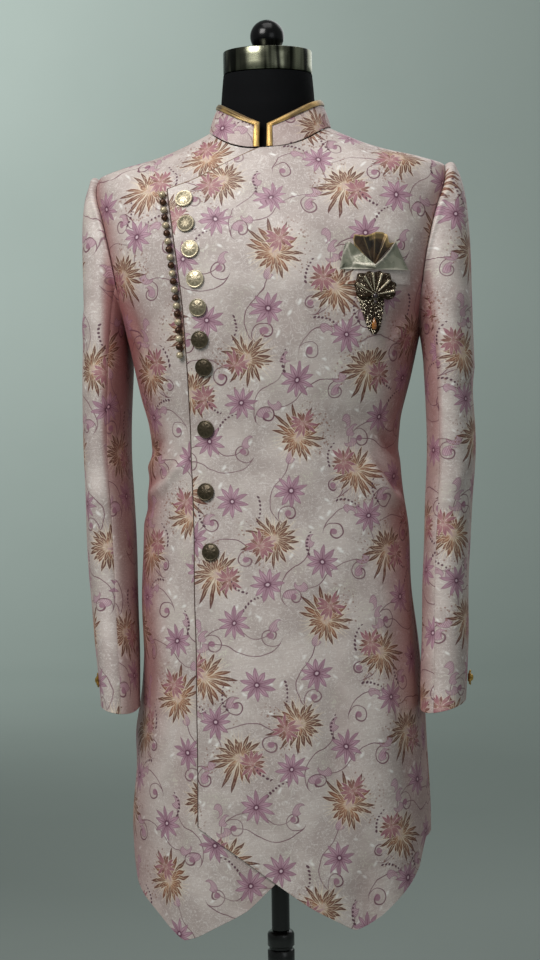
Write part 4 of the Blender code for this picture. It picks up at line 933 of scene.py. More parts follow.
    # daisies on top
    d, L = nearest(net, Q, DAISIES)
    ang, turn, lx, ly = turned(net, d, L)
    d_in, d_t, d_lat, d_rnd = leaf_ring(net, net.m("ADD", ang, 20 * math.pi), L, 10, 0.07, 0.0230, 0.0110, 0.0,
                                        0.0, 0.15)
    d_mask = edge(net, d_in, 0.0006)
    paper = net.m("MULTIPLY", net.fit(L, 0.0170, 0.0090), 0.45)
    color = net.mix(paper, color, srgb(222, 204, 212))
    rim = net.m("SUBTRACT", 1.0, net.fit(d_in, 0.0002, 0.0011))
    vein = net.m("MULTIPLY", net.fit(d_lat, 0.0007, 0.0003), net.fit(d_t, 0.85, 0.35))
    tone = net.m("MAXIMUM", net.m("MULTIPLY", rim, 0.85), net.m("MULTIPLY", vein, 0.90))
    tone = net.m("MAXIMUM", tone, net.m("MULTIPLY", net.fit(d_t, 0.42, 0.05), 0.85))
    tone = net.m("MAXIMUM", tone, net.m("MULTIPLY", net.fit(d_rnd, 0.55, 0.75), 0.42))
    tone = net.m("MAXIMUM", tone, net.fit(d_t, 0.55, 0.90, 0.0, 0.55))
    tone = net.m("MULTIPLY", tone, net.fit(brush, 0.30, 0.52, 0.65, 1.0))
    petal = net.mix(tone, srgb(188, 150, 166), srgb(112, 62, 86))
    color = net.mix(net.m("MULTIPLY", d_mask, 0.95), color, petal)
    ring = net.fit(net.m("ABSOLUTE", net.m("SUBTRACT", L, 0.0027)), 0.0013, 0.0006)
    color = net.mix(net.m("MULTIPLY", ring, 0.90), color, srgb(98, 48, 74))
    eye = net.fit(L, 0.0020, 0.0013)
    color = net.mix(net.m("MULTIPLY", eye, 0.85), color, srgb(214, 184, 198))
    cover = net.m("MAXIMUM", cover, d_mask)

    gout = net.node("NodeGroupOutput")
    net.put(gout.inputs["Color"], color)
    net.put(gout.inputs["Cover"], cover)
    return tree


def weave_ground(net, P, pale, deep, warp, painted_light):
    """The satin ground: cloudy silver and blush, glossy woven scrolls and leaf flecks
    whitened as painted sheen and highlight, and the rose warp painted in as sheen and shade where the last input says
    so.  Returns colour, gloss, relief."""
    cloud = net.noise(P, 15.0, 3.0, 0.55)
    color = net.mix(net.fit(cloud, 0.38, 0.64, smooth=True), deep, pale)
    swirl = net.noise(P, 105.0, 2.0, 0.55, distort=1.8)
    curl = net.fit(net.m("ABSOLUTE", net.m("SUBTRACT", swirl, 0.5)), 0.034, 0.010)
    flecks = None
    for angle, shift, scale in ((38, 0.0, 34.0), (-52, 3.7, 30.0)):
        slant = net.node("ShaderNodeMapping", vector_type="TEXTURE")
        slant.inputs["Rotation"].default_value = (0, 0, math.radians(angle))
        slant.inputs["Scale"].default_value = (1.0, 0.46, 1.0)
        slant.inputs["Location"].default_value = (shift, shift * 0.3, 0.0)
        net.put(slant.inputs["Vector"], P)
        fleck = net.fit(net.voronoi(slant.outputs[0], scale, random=1.0), 0.175, 0.060)
        flecks = fleck if flecks is None else net.m("MAXIMUM", flecks, fleck)
    lights = net.m("MAXIMUM", net.m("MULTIPLY", curl, 0.55), flecks)
    # the woven scrolls and leaf flecks are real; their whitening is painted sheen and painted highlight of the glossy
    # floats
    color = net.mix(net.m("MULTIPLY", curl, 0.55), color, srgb(236, 230, 226))
    color = net.mix(net.m("MULTIPLY", flecks, 0.72), color, srgb(252, 252, 248))
    tint = net.fit(net.noise(net.v("ADD", P, (0.9, 5.2, 0.0)), 30.0, 1.0), 0.56, 0.68)
    color = net.mix(net.m("MULTIPLY", net.m("MULTIPLY", tint, curl), 0.35), color, srgb(198, 204, 168))
    # painted light: the rose warp mixed in as painted sheen and shade
    color = net.mix(net.m("MULTIPLY", painted_light, 0.85), color, warp)
    # threads
    x, y, _ = net.xyz(P)
    weft = net.m("SINE", net.m("MULTIPLY", y, 2 * math.pi / 0.00042))
    uneven = net.noise(net.v("MULTIPLY", P, (60.0, 900.0, 1.0)), 1.0, 1.0)
    relief = net.m("MULTIPLY_ADD", weft, 0.035, net.m("MULTIPLY", lights, 0.85))
    relief = net.m("MULTIPLY_ADD", uneven, 0.30, relief)
    color = net.mix(net.m("MULTIPLY", net.fit(uneven, 0.62, 0.40), 0.12), color, srgb(120, 92, 92))
    return color, lights, relief


def brocade(name, shift, gloss=0.0):
    mat, net, shader = new_material(
        name, 0.46, 0.0, (188, 166, 164), Sheen_Weight=0.26, Sheen_Roughness=0.38, Sheen_Tint=srgb(214, 140, 138),
        Specular_IOR_Level=0.55)
    P = net.v("ADD", net.uv(), (*shift, 0.0))
    painted_light = net.attr("PaintedLight")
    ground, lights, relief = weave_ground(net, P, srgb(208, 197, 191), srgb(184, 171, 166), srgb(168, 104, 104), painted_light)
    group = net.node("ShaderNodeGroup", node_tree=PRINT)
    net.put(group.inputs["Place"], P)
    net.put(group.inputs["Ground"], ground)
    color, cover = group.outputs["Color"], group.outputs["Cover"]
    # painted rose sheen and painted shade also warm and deepen the print
    color = net.mix(net.m("MULTIPLY", painted_light, 0.55), color, srgb(196, 120, 120), blend="MULTIPLY")
    net.put(shader.inputs["Base Color"], color)
    rough = net.m("MULTIPLY_ADD", lights, -0.16, 0.47 - gloss)
    rough = net.m("MULTIPLY_ADD", cover, 0.07, rough)
    rough = net.m("MULTIPLY_ADD", net.noise(P, 40.0, 2.0), 0.08, rough)
    net.put(shader.inputs["Roughness"], rough)
    net.put(shader.inputs["Normal"], net.bump(relief, 0.50, 0.00022))
    return mat


PRINT = print_group()
BROCADE = brocade("brocade", (0.0, 0.0))


def reverse_cloth():
    """Wrong side of the brocade: the ground only, duller, with floats showing."""
    mat, net, shader = new_material("brocade_wrong_side", 0.62, 0.0, (150, 122, 122), Sheen_Weight=0.25,
                                    Sheen_Roughness=0.5, Sheen_Tint=srgb(200, 130, 130))
    P = net.uv()
    cloud = net.noise(P, 18.0, 3.0)
    color = net.mix(net.fit(cloud, 0.35, 0.65), srgb(150, 118, 118), srgb(172, 146, 142))
    floats = net.noise(net.v("MULTIPLY", P, (1.0, 9.0, 1.0)), 160.0, 2.0)
    color = net.mix(net.m("MULTIPLY", net.fit(floats, 0.45, 0.62), 0.35), color, srgb(190, 168, 160))
    net.put(shader.inputs["Base Color"], color)
    net.put(shader.inputs["Roughness"], net.m("MULTIPLY_ADD", floats, 0.18, 0.52))
    net.put(shader.inputs["Normal"], net.bump(floats, 0.4, 0.0003))
    return mat


WRONG = reverse_cloth()

# =====================================================================
# The coat's body
# =====================================================================
def side_line(side, front, hem, nb, na, nr):
    rows = [(0.0, hem + (ARMPIT_Z - hem) * i / nb) for i in range(nb)]
    mid, half = (ARMPIT_Z + SHOULDER_Z) / 2, (SHOULDER_Z - ARMPIT_Z) / 2
    for k in range(na + 1):
        t = math.pi * (1 - k / na)
        rows.append((ARMHOLE_SPREAD * math.sin(t), mid + half * math.cos(t)))
    rows += [(0.0, SHOULDER_Z + (NECK_SIDE_Z - SHOULDER_Z) * i / nr) for i in range(1, nr + 1)]
    rows = np.array(rows)
    sign = -1.0 if front else 1.0
    if side > 0:
        rows[:, 0] = sign * rows[:, 0]
    else:
        rows[:, 0] = (-math.pi if front else math.pi) - sign * rows[:, 0]
    return rows


def panel_grid(seam, edge, hem, top, cols, spread=4):
    z0, z1 = seam[0, 1], seam[-1, 1]
    w = (seam[:, 1] - z0) / (z1 - z0)
    f = np.linspace(0, 1, cols + 1)
    E = np.stack(edge(w), -1)
    H = np.stack(hem(f), -1)
    T = np.stack(top(f), -1)
    ff = f[None, :, None]
    grid = (1 - ff) * seam[:, None, :] + ff * E[:, None, :]
    low = H - ((1 - f[:, None]) * H[0] + f[:, None] * H[-1])
    high = T - ((1 - f[:, None]) * T[0] + f[:, None] * T[-1])
    ww = w[:, None]
    grid = grid + low[None] * np.stack(((1 - ww) ** spread, (1 - ww) ** 2.2), -1)
    grid = grid + high[None] * np.stack((ww ** (spread + 4), ww ** 6), -1)
    return grid


def soft_straight(xs, ys, x, round_off=0.45):
    """A line through a table with its corners a little rounded."""
    return (1 - round_off) * np.interp(x, xs, ys) + round_off * smooth_read(xs, ys, x)


def hidden_edge_x(z):
    return np.interp(z, (1.400, 1.4625), (UNDER_EDGE_X, 0.004))


def lap_lift(p):
    start = hidden_edge_x(p[..., 2]) + 0.010
    return (CLOTH + LAP_GAP) * (1 - ease((p[..., 0] - start) / 0.045))


OVER_COLS_CAD, NECK_COLS_CAD = 17, 8
NECK_SPLIT = NECK_COLS_CAD / OVER_COLS_CAD
OPENING_LEFT = -math.pi / 2 - 0.006 / NECK_HALF
OPENING_RIGHT = -math.pi / 2 + 0.0015 / NECK_HALF
flap_z, flap_x = column(FLAP_EDGE, 0), column(FLAP_EDGE, 1)


def over_hem(f):
    a1 = float(front_angle(OVER_HEM[0][0], OVER_HEM[0][1]))
    angle = a1 * f
    z = np.full(f.shape, 0.55)
    for _ in range(8):
        x = body_point(angle, z)[:, 0]
        z = soft_straight(column(OVER_HEM, 0), column(OVER_HEM, 1), np.minimum(x, OVER_HEM[-1][0]))
    z[0] = HEM_SIDE_LEFT_Z
    return angle, z


def over_edge(w):
    z = flap_z[0] + (flap_z[-1] - flap_z[0]) * w
    return front_angle(smooth_read(flap_z, flap_x, z), z), z


def over_top(f):
    a, z = neckline(OPENING_LEFT * np.minimum(f / NECK_SPLIT, 1.0))
    x = FLAP_TOP[0][0] + (FLAP_TOP[-1][0] - FLAP_TOP[0][0]) * (f - NECK_SPLIT) / (1 - NECK_SPLIT)
    zz = soft_straight(-column(FLAP_TOP, 0), column(FLAP_TOP, 1), -x)
    aa = front_angle(x, zz)
    return np.where(f <= NECK_SPLIT, a, aa), np.where(f <= NECK_SPLIT, z, zz)


def under_hem(f):
    a1 = float(front_angle(UNDER_EDGE_X, UNDER_HEM[-1][1]))
    angle = -math.pi + (a1 + math.pi) * f
    z = np.full(f.shape, 0.55)
    for _ in range(8):
        x = body_point(angle, z)[:, 0]
        z = soft_straight(column(UNDER_HEM, 0), column(UNDER_HEM, 1), x)
    z[0] = HEM_SIDE_RIGHT_Z
    return angle, z


def under_edge(w):
    z = UNDER_HEM[-1][1] + (NECK_FRONT_Z - UNDER_HEM[-1][1]) * w
    return front_angle(hidden_edge_x(z), z), z


def under_top(f):
    return neckline(-math.pi + (OPENING_RIGHT + math.pi) * f)


HEM_MID_Z = (HEM_SIDE_LEFT_Z + HEM_SIDE_RIGHT_Z) / 2


def back_hem(side):
    z_side = HEM_SIDE_LEFT_Z if side > 0 else HEM_SIDE_RIGHT_Z

    def hem(f):
        angle = math.pi / 2 * f if side > 0 else math.pi - math.pi / 2 * f
        return angle, z_side + (HEM_MID_Z - z_side) * ease(f)
    return hem


def back_edge(w):
    return np.full(w.shape, math.pi / 2), HEM_MID_Z + (NECK_BACK_Z - HEM_MID_Z) * w


def back_top(side):
    return lambda f: neckline(math.pi / 2 * f if side > 0 else math.pi - math.pi / 2 * f)


def cloth_place(points, row_step, col_step, corner):
    """Flat places of a fine grid, from a coarser grid laid flat."""
    rows, cols = points.shape[:2]
    ri = np.unique(np.round(np.linspace(0, rows - 1, max(6, rows // row_step))).astype(int))
    ci = np.unique(np.round(np.linspace(0, cols - 1, max(6, cols // col_step))).astype(int))
    flat, area = flatten(points[np.ix_(ri, ci)])
    size = flat.reshape(-1, 2).max(0) - flat.reshape(-1, 2).min(0)
    flat = flat - flat.reshape(-1, 2).min(0) + np.array(corner)
    rr, cc = np.meshgrid(np.interp(np.arange(rows), ri, np.arange(len(ri))),
                         np.interp(np.arange(cols), ci, np.arange(len(ci))), indexing="ij")
    return regrid(flat, rows, cols, rr, cc), area, size


CUTS = {}          # name: (width, length, area) of each piece as cut


def side_painted_sheen(n):
    """Painted rose sheen and shade where the cloth turns away to the side."""
    return np.where(n[..., 0] > 0, 0.66 * ease((n[..., 0] - 0.58) / 0.42), 0.74 * ease((-n[..., 0] - 0.52) / 0.46))


def build_panel(name, grid, corner, lift=None):
    angle, z = grid[..., 0], grid[..., 1]
    p, n = body_point(angle, z), body_normal(angle, z)
    up = lift(p) if lift else 0.0
    h = body_relief(angle, z) + up
    # cloth dips a little into the seam along the side, armhole and shoulder
    inner = trim(p + n * h[..., None], SEAM * 0.7)
    outer = trim(p + n * (h + CLOTH)[..., None], SEAM * 0.7)
    edge_dist = np.linalg.norm(outer - outer[:, :1], axis=-1)
    dip = 0.0011 * np.exp(-(edge_dist / 0.0042) ** 1.5)
    outer, inner = outer - n * dip[..., None], inner - n * dip[..., None]
    uv, area, size = cloth_place(p, 8, 8, corner)
    CUTS[name] = (float(size[0]), float(size[1]), area)
    side_on = np.abs(n[..., 0])
    # painted light: rose sheen and shade on the sides, less towards the hem, painted shade in the crease troughs, and a
    # painted dark band under the arms
    painted_light = side_painted_sheen(n) * (1 - 0.55 * ease((0.82 - z) / 0.14)) + 60.0 * np.clip(-h, 0, 0.004) * 0.6
    painted_light = painted_light + 0.35 * np.exp(-((z - 1.245) / 0.05) ** 2) * ease((side_on - 0.35) / 0.4)
    obj = grid_mesh(name + "_cloth", outer, inner, uv, np.clip(painted_light, 0, 1), [BROCADE, WRONG])
    return obj, inner, outer, n, uv


FINE = (176, 60, 34)
left_seam = side_line(+1, True, HEM_SIDE_LEFT_Z, *FINE)
right_seam = side_line(-1, True, HEM_SIDE_RIGHT_Z, *FINE)
over_grid = panel_grid(left_seam, over_edge, over_hem, over_top, 119)
under_grid = panel_grid(right_seam, under_edge, under_hem, under_top, 84)
over, over_in, over_out, over_n, over_uv = build_panel("front_left", over_grid, (0.013, 0.031), lap_lift)
under, under_in, under_out, under_n, under_uv = build_panel("front_right", under_grid, (0.092, 0.118))
backs = {}
for side, name, corner in ((+1, "back_left", (0.151, 0.060)), (-1, "back_right", (0.047, 0.171))):
    seam = side_line(side, False, HEM_SIDE_LEFT_Z if side > 0 else HEM_SIDE_RIGHT_Z, *FINE)
    backs[name] = build_panel(name, panel_grid(seam, back_edge, back_hem(side), back_top(side), 72), corner)

# =====================================================================
# Sleeves
# =====================================================================
RING = 16
SLEEVE_Z = column(SLEEVE, 0)
SEAM_FRONT, SEAM_BACK = 5, 11


def armhole_point(k, side):
    t = 2 * math.pi * k / RING
    mid, half = (ARMPIT_Z + SHOULDER_Z) / 2, (SHOULDER_Z - ARMPIT_Z) / 2
    angle = -ARMHOLE_SPREAD * np.sin(t)
    return body_point(angle if side > 0 else math.pi - angle, mid + half * np.cos(t))


def tube_point(k, z, side):
    k, z = np.broadcast_arrays(np.asarray(k, float), np.asarray(z, float))
    out, back, wx, wy = [smooth_read(SLEEVE_Z, column(SLEEVE, i), z) for i in (1, 2, 3, 4)]
    t = 2 * math.pi * k / RING
    low, elbow = ease((0.98 - z) / 0.20), np.exp(-((z - 1.10) / 0.075) ** 2)
    if side < 0:
        tuck = ease((0.95 - z) / 0.18)
        out, back, wx = out - TUCK * tuck, back - 2 * TUCK * tuck, wx * (1 - 0.14 * tuck)
        out, wx = out + 0.0022 * elbow, wx - 0.0022 * elbow + 0.0016 * low
    else:
        out, wx = out + 0.0032 * elbow + 0.0030 * low, wx + 0.0004 * elbow + 0.0036 * low
        swell = np.exp(-((z - 1.205) / 0.030) ** 2)
        out, wx = out + 0.0024 * swell, wx + 0.0028 * swell
    x = out + wx * spow(np.cos(t), 2 / 2.2)
    y = back - wy * spow(np.sin(t), 2 / 2.2)
    # the cuff is cut on a slant: shortest outside
    tilt = (0.06 * (y - back) + 0.0050 + 0.23 * (x - out)) * ease((0.86 - z) / 0.09)
    return np.stack((side * x + COAT_SHIFT + SLEEVE_SHIFT, y, z + tilt), -1)


def sleeve_point(k, s, side):
    k, s = np.broadcast_arrays(np.asarray(k, float), np.asarray(s, float))
    t = 2 * math.pi * k / RING
    c = np.cos(t)
    out = unit(np.stack((np.full(t.shape, 0.86 * side), -0.35 * np.sin(t),
                         0.28 * np.maximum(c, 0) - 0.10 * np.maximum(-c, 0)), -1))
    p0 = armhole_point(k, side) + 0.0012 * out
    p3 = tube_point(k, np.full(k.shape, SLEEVE_TOP_Z), side)
    high = 0.5 + 0.5 * c
    p1 = p0 + (0.002 + (0.033 if side > 0 else 0.026) * high ** 2)[..., None] * out
    p2 = p3 + np.stack((-0.006 * side * high, 0 * high, 0.012 + 0.125 * high), -1)
    q = np.clip(s, 0, 1)[..., None]
    head = (1 - q) ** 3 * p0 + 3 * q * (1 - q) ** 2 * p1 + 3 * q * q * (1 - q) * p2 + q ** 3 * p3
    tube = tube_point(k, SLEEVE_TOP_Z + (CUFF_Z - SLEEVE_TOP_Z) * np.clip(s - 1, 0, 1), side)
    return np.where((s >= 1)[..., None], tube, head)


def sleeve_normal(k, s, side):
    du = sleeve_point(k + 0.5, s, side) - sleeve_point(k - 0.5, s, side)
    lo, hi = np.maximum(s - 0.05, 0.0), np.minimum(s + 0.05, 2.0)
    dv = sleeve_point(k, hi, side) - sleeve_point(k, lo, side)
    return side * unit(np.cross(du, dv))


# columns round the sleeve are 0 outside, 4 front, 8 inside, 12 back; s from 0 at
# the armhole to 1 at the end of the head and 2 at the cuff.  Metres per unit:
SLEEVE_K, SLEEVE_S = 0.0205, 0.300


def K(k, s):
    return (k * SLEEVE_K, s * SLEEVE_S)


SLEEVE_CREASES = {
    +1: [
        ([K(3.5, 0.62), K(2.4, 0.74), K(0.8, 0.86)], 0.0110, 0.0022, 0.35, 0.40),
        ([K(4.6, 0.80), K(3.4, 0.92), K(1.6, 1.02)], 0.0120, -0.0020, 0.0, 0.40),
        ([K(5.0, 1.28), K(3.6, 1.33), K(1.8, 1.30)], 0.0120, 0.0020, 0.30, 0.40),
        ([K(5.2, 1.40), K(3.9, 1.43), K(2.2, 1.42)], 0.0110, -0.0020, 0.0, 0.40),
        ([K(4.8, 1.62), K(3.4, 1.58), K(1.4, 1.60)], 0.0110, 0.0014, 0.25, 0.40),
        ([K(12.0, 1.34), K(10.5, 1.38), K(9.0, 1.36)], 0.0120, 0.0026, 0.35, 0.40),
        ([K(12.6, 1.46), K(11.0, 1.44), K(9.4, 1.46)], 0.0120, -0.0022, 0.0, 0.40),
        ([K(14.6, 0.60), K(13.0, 0.78), K(11.4, 0.90)], 0.0120, 0.0024, -0.30, 0.40),
        ([K(1.0, 0.30), K(1.4, 0.90), K(1.6, 1.70)], 0.0160, 0.0014, 0.0, 0.35),
    ],
    -1: [
        ([K(3.2, 0.66), K(2.2, 0.80), K(0.6, 0.90)], 0.0110, 0.0020, 0.30, 0.40),
        ([K(4.8, 0.86), K(3.4, 0.98), K(1.8, 1.06)], 0.0120, -0.0020, 0.0, 0.40),
        ([K(5.2, 1.34), K(3.8, 1.36), K(2.0, 1.33)], 0.0120, 0.0018, 0.30, 0.40),
        ([K(5.4, 1.47), K(4.0, 1.48), K(2.4, 1.50)], 0.0110, -0.0018, 0.0, 0.40),
        ([K(12.2, 1.30), K(10.6, 1.35), K(9.2, 1.34)], 0.0120, 0.0024, 0.35, 0.40),
        ([K(12.4, 1.43), K(10.8, 1.42), K(9.2, 1.44)], 0.0110, -0.0020, 0.0, 0.40),
        ([K(14.2, 0.64), K(12.8, 0.80), K(11.2, 0.92)], 0.0120, 0.0022, -0.30, 0.40),
    ],
}


def sleeve_relief(k, s, side, p):
    h = crease_sum(np.mod(k, RING) * SLEEVE_K, s * SLEEVE_S, SLEEVE_CREASES[side], RING * SLEEVE_K)
    h = h + waver(p, 11 if side > 0 else 12, 0.0016) * ease(s / 0.25)
    t = 2 * math.pi * k / RING
    high = 0.5 + 0.5 * np.cos(t)
    # the roped head: a soft roll just past the armhole seam, with slight gathers
    roll = 0.0030 * np.exp(-((s - 0.085) / 0.060) ** 2) * (0.35 + 0.65 * high)
    gather = 0.0007 * np.sin(t * 13.0 + 0.8 * np.sin(3 * t)) * np.exp(-((s - 0.10) / 0.10) ** 2) * high
    sink = -0.0007 * np.exp(-(s / 0.022) ** 2)
    return h + roll + gather + sink


def sleeve_piece(name, side, first, last, corner, cols):
    s = np.concatenate((np.linspace(0, 1, 56)[:-1] ** 1.15, np.linspace(1, 2, 124)))
    k = np.linspace(first, last, cols)
    kk, ss = np.meshgrid(k, s)
    p, n = sleeve_point(kk, ss, side), sleeve_normal(kk, ss, side)
    h = sleeve_relief(kk, ss, side, p)
    e0 = np.linalg.norm(p - p[:, :1], axis=-1)
    e1 = np.linalg.norm(p - p[:, -1:], axis=-1)
    h = h - 0.0010 * (np.exp(-(e0 / 0.0040) ** 1.5) + np.exp(-(e1 / 0.0040) ** 1.5))
    inner = trim(p + n * h[..., None], SEAM * 0.7)
    outer = trim(p + n * (h + SLEEVE_WALL)[..., None], SEAM * 0.7)
    uv, area, size = cloth_place(p[::-1], 6, 5, corner)
    uv = uv[::-1]
    CUTS[name] = (float(size[0]), float(size[1]), area)
    # painted rose sheen and shade on the side of the sleeve that faces the body, less towards the cuff
    inward = -side * n[..., 0]
    low = ease((1.20 - p[..., 2]) / 0.26)
    painted_light = (0.80 - 0.42 * low) * ease((inward - 0.05 - 0.40 * low) / 0.60)
    if side > 0:
        painted_light = 0.62 * ease((inward - 0.24 - 0.26 * low) / 0.60) * (1 - 0.4 * low)
    return grid_mesh(name + "_cloth", outer, inner, uv, painted_light, [BROCADE, WRONG])


sleeves = {}
for side, word, c1, c2 in ((+1, "left", (0.030, 0.142), (0.110, 0.020)), (-1, "right", (0.134, 0.083), (0.050, 0.190))):
    sleeves["sleeve_%s_under" % word] = sleeve_piece("sleeve_%s_under" % word, side, SEAM_FRONT, SEAM_BACK, c2, 40)
    sleeves["sleeve_%s_upper" % word] = sleeve_piece("sleeve_%s_upper" % word, side, SEAM_BACK - RING, SEAM_FRONT, c1, 64)

# =====================================================================
# Collar
# =====================================================================
COLLAR_GAP_TOP, COLLAR_GAP_BOTTOM, COLLAR_GAP_OFF = 0.0066, 0.0058, 0.0025
COLLAR_LEN, COLLAR_TALL = 0.415, 0.0325


def collar_bare(u, v):
    u, v = np.broadcast_arrays(np.asarray(u, float), np.asarray(v, float))
    half = COLLAR_GAP_BOTTOM + (COLLAR_GAP_TOP - COLLAR_GAP_BOTTOM) * v
    a0 = -math.pi / 2 + (half - COLLAR_GAP_OFF) / 0.070
    a1 = 3 * math.pi / 2 - (half + COLLAR_GAP_OFF) / 0.070
    angle = a0 + (a1 - a0) * u
    foot = body_point(*neckline(angle))
    foot[..., 2] += 0.0021
    front, back = np.maximum(-np.sin(angle), 0.0), np.maximum(np.sin(angle), 0.0)
    depth = np.where(np.sin(angle) < 0, 0.0625, 0.0650)
    dip = 0.25 * front ** 2 + 0.75 * (1 - np.abs(np.cos(angle))) * (np.sin(angle) < 0)
    top_z = 1.5242 + 0.0010 * np.cos(angle) - 0.0337 * dip + 0.0138 * back ** 2
    head = np.stack((COAT_SHIFT + 0.0628 * np.cos(angle), depth * np.sin(angle), top_z), -1)
    bow = 0.0012 * np.sin(math.pi * np.clip(v, 0, 1))
    p = foot + (head - foot) * v[..., None]
    p[..., 0] += bow * np.cos(angle)
    p[..., 1] += bow * np.sin(angle)
    return p


def collar_point(u, v, out=0.0):
    p = collar_bare(u, v)
    du = collar_bare(u + 0.004, v) - collar_bare(u - 0.004, v)
    dv = collar_bare(u, v + 0.05) - collar_bare(u, v - 0.05)
    return p + np.asarray(out)[..., None] * unit(np.cross(du, dv))


cu, cv = np.meshgrid(np.linspace(0, 1, 150), np.linspace(0, 1, 15))
collar_in, collar_out = collar_point(cu, cv, 0.0 * cu), collar_point(cu, cv, COLLAR_WALL + 0 * cu)
uv, area, size = cloth_place(collar_in, 2, 4, (0.020, 0.062))
CUTS["collar"] = (float(size[0]), float(size[1]), area)
collar = grid_mesh("collar_cloth", collar_out, collar_in, uv, 0.15 * np.ones(cu.shape), [BROCADE, BROCADE])

for name, obj in [("front_left", over), ("front_right", under), ("collar", collar)] + [
        (n, b[0]) for n, b in backs.items()] + list(sleeves.items()):
    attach(obj, "root")
    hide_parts(name)
    w, l, area = CUTS[name]

# =====================================================================
# Materials of the trims, the dress form and its stand
# =====================================================================
def satin_gold():
    mat, net, shader = new_material("satin_gold", 0.34, 0.62, (170, 132, 70), Sheen_Weight=0.15)
    P = net.uv()
    streak = net.noise(net.v("MULTIPLY", P, (24.0, 700.0, 1.0)), 1.0, 2.0)
    slow = net.noise(net.v("MULTIPLY", P, (34.0, 60.0, 1.0)), 1.0, 1.0)
    along = net.xyz(P)[0]
    # painted light: lighter where the strip stands up the front edges and along one stretch of the top, darker as
    # painted shade along the rest of the top
    painted_highlight = net.m("MAXIMUM", net.fit(along, 0.038, 0.026), net.fit(along, 0.438, 0.450))
    painted_highlight = net.m("MAXIMUM", painted_highlight, net.fit(net.m("ABSOLUTE", net.m("SUBTRACT", along, 0.096)), 0.026, 0.006, 0.0, 0.7))
    slow = net.m("MULTIPLY_ADD", painted_highlight, 0.22, net.m("MULTIPLY_ADD", slow, 1.0, -0.04))
    color = net.mix(net.fit(slow, 0.42, 0.66), srgb(104, 78, 48), srgb(206, 164, 90))
    color = net.mix(net.m("MULTIPLY", net.fit(streak, 0.40, 0.62), 0.35), color, srgb(232, 204, 140))
    x, y, _ = net.xyz(P)
    twill = net.m("SINE", net.m("MULTIPLY", net.m("ADD", x, y), 2 * math.pi / 0.00060))
    net.put(shader.inputs["Base Color"], color)
    net.put(shader.inputs["Roughness"], net.m("MULTIPLY_ADD", streak, 0.20, 0.24))
    net.put(shader.inputs["Normal"], net.bump(net.m("MULTIPLY_ADD", twill, 0.25, streak), 0.35, 0.0002))
    return mat


def piping_cloth():
    mat, net, shader = new_material("piping_cloth", 0.50, 0.0, (70, 46, 38), Sheen_Weight=0.2)
    P = net.uv()
    x, y, _ = net.xyz(P)
    strand = net.m("SINE", net.m("MULTIPLY_ADD", x, 2 * math.pi / 0.0016, net.m("MULTIPLY", y, 9.0)))
    # painted light: the slanting top run is lighter where the light falls on it
    color = net.mix(net.attr("PaintedLight"), srgb(58, 36, 30), srgb(140, 112, 88))
    color = net.mix(net.fit(strand, 0.2, 1.0, 0.0, 0.35), color, srgb(150, 110, 84))
    net.put(shader.inputs["Base Color"], color)
    net.put(shader.inputs["Roughness"], net.m("MULTIPLY_ADD", net.noise(P, 400.0), 0.2, 0.40))
    net.put(shader.inputs["Normal"], net.bump(strand, 0.5, 0.0003))
    return mat


def worn_metal(name, light, dark, rough, metal, grain=900.0, relief=False, painted_dark_reflection=False, tone=False):
    """Cast metal, darker in its pits, with fine scratches."""
    mat, net, shader = new_material(name, rough, metal, light)
    P = net.place()
    spot = net.noise(P, grain, 3.0, 0.6)
    fine = net.noise(net.v("MULTIPLY", P, (1.0, 1.0, 4.0)), grain * 2.6, 1.0)
    worn = net.fit(spot, 0.38, 0.62)
    if relief:
        worn = net.m("MULTIPLY", net.attr("Relief"), net.m("MULTIPLY_ADD", worn, 0.45, 0.65), clamp=True)
    color = net.mix(worn, srgb(*dark), srgb(*light))
    if tone:
        color = net.mix(net.attr("Tone"), color, srgb(206, 196, 172))
    # painted dark reflection: whole buttons darkened where they tilt to reflect the dim room
    if painted_dark_reflection:
        color = net.mix(net.attr("PaintedDarkReflection"), color, net.mix(worn, srgb(30, 24, 18), srgb(74, 62, 44)))
    net.put(shader.inputs["Base Color"], color)
    net.put(shader.inputs["Roughness"], net.m("MULTIPLY_ADD", fine, 0.16, rough - 0.08))
    net.put(shader.inputs["Normal"], net.bump(net.m("MULTIPLY_ADD", spot, 0.6, fine), 0.22, 0.00015))
    return mat


def silk(name, pale, deep, bright):
    mat, net, shader = new_material(name, 0.30, 0.35, pale, Sheen_Weight=0.25, Coat_Weight=0.12)
    P = net.uv()
    slow = net.noise(P, 46.0, 2.0, 0.5, distort=0.6)
    color = net.mix(net.fit(slow, 0.36, 0.64), srgb(*deep), srgb(*pale))
    # painted highlights where the per-point painted light says so
    color = net.mix(net.attr("PaintedLight"), color, srgb(*bright))
    x, y, _ = net.xyz(P)
    twill = net.m("SINE", net.m("MULTIPLY", net.m("SUBTRACT", x, y), 2 * math.pi / 0.0005))
    net.put(shader.inputs["Base Color"], color)
    net.put(shader.inputs["Roughness"], net.m("MULTIPLY_ADD", slow, 0.20, 0.18))
    net.put(shader.inputs["Normal"], net.bump(net.m("MULTIPLY_ADD", twill, 0.12, slow), 0.35, 0.0006))
    return mat


def stone_glass(name, look, rough=0.06, transmission=0.0):
    mat, net, shader = new_material(name, rough, 0.0, look, Coat_Weight=1.0, Coat_Roughness=0.04,
                                    Transmission_Weight=transmission, IOR=1.62)
    P = net.place()
    inner = net.voronoi(P, 900.0)
    color = net.mix(net.fit(inner, 0.1, 0.6), srgb(*[c // 3 for c in look]), srgb(*look))
    net.put(shader.inputs["Base Color"], color)
    net.put(shader.inputs["Roughness"], net.m("MULTIPLY_ADD", inner, 0.10, rough))
    return mat


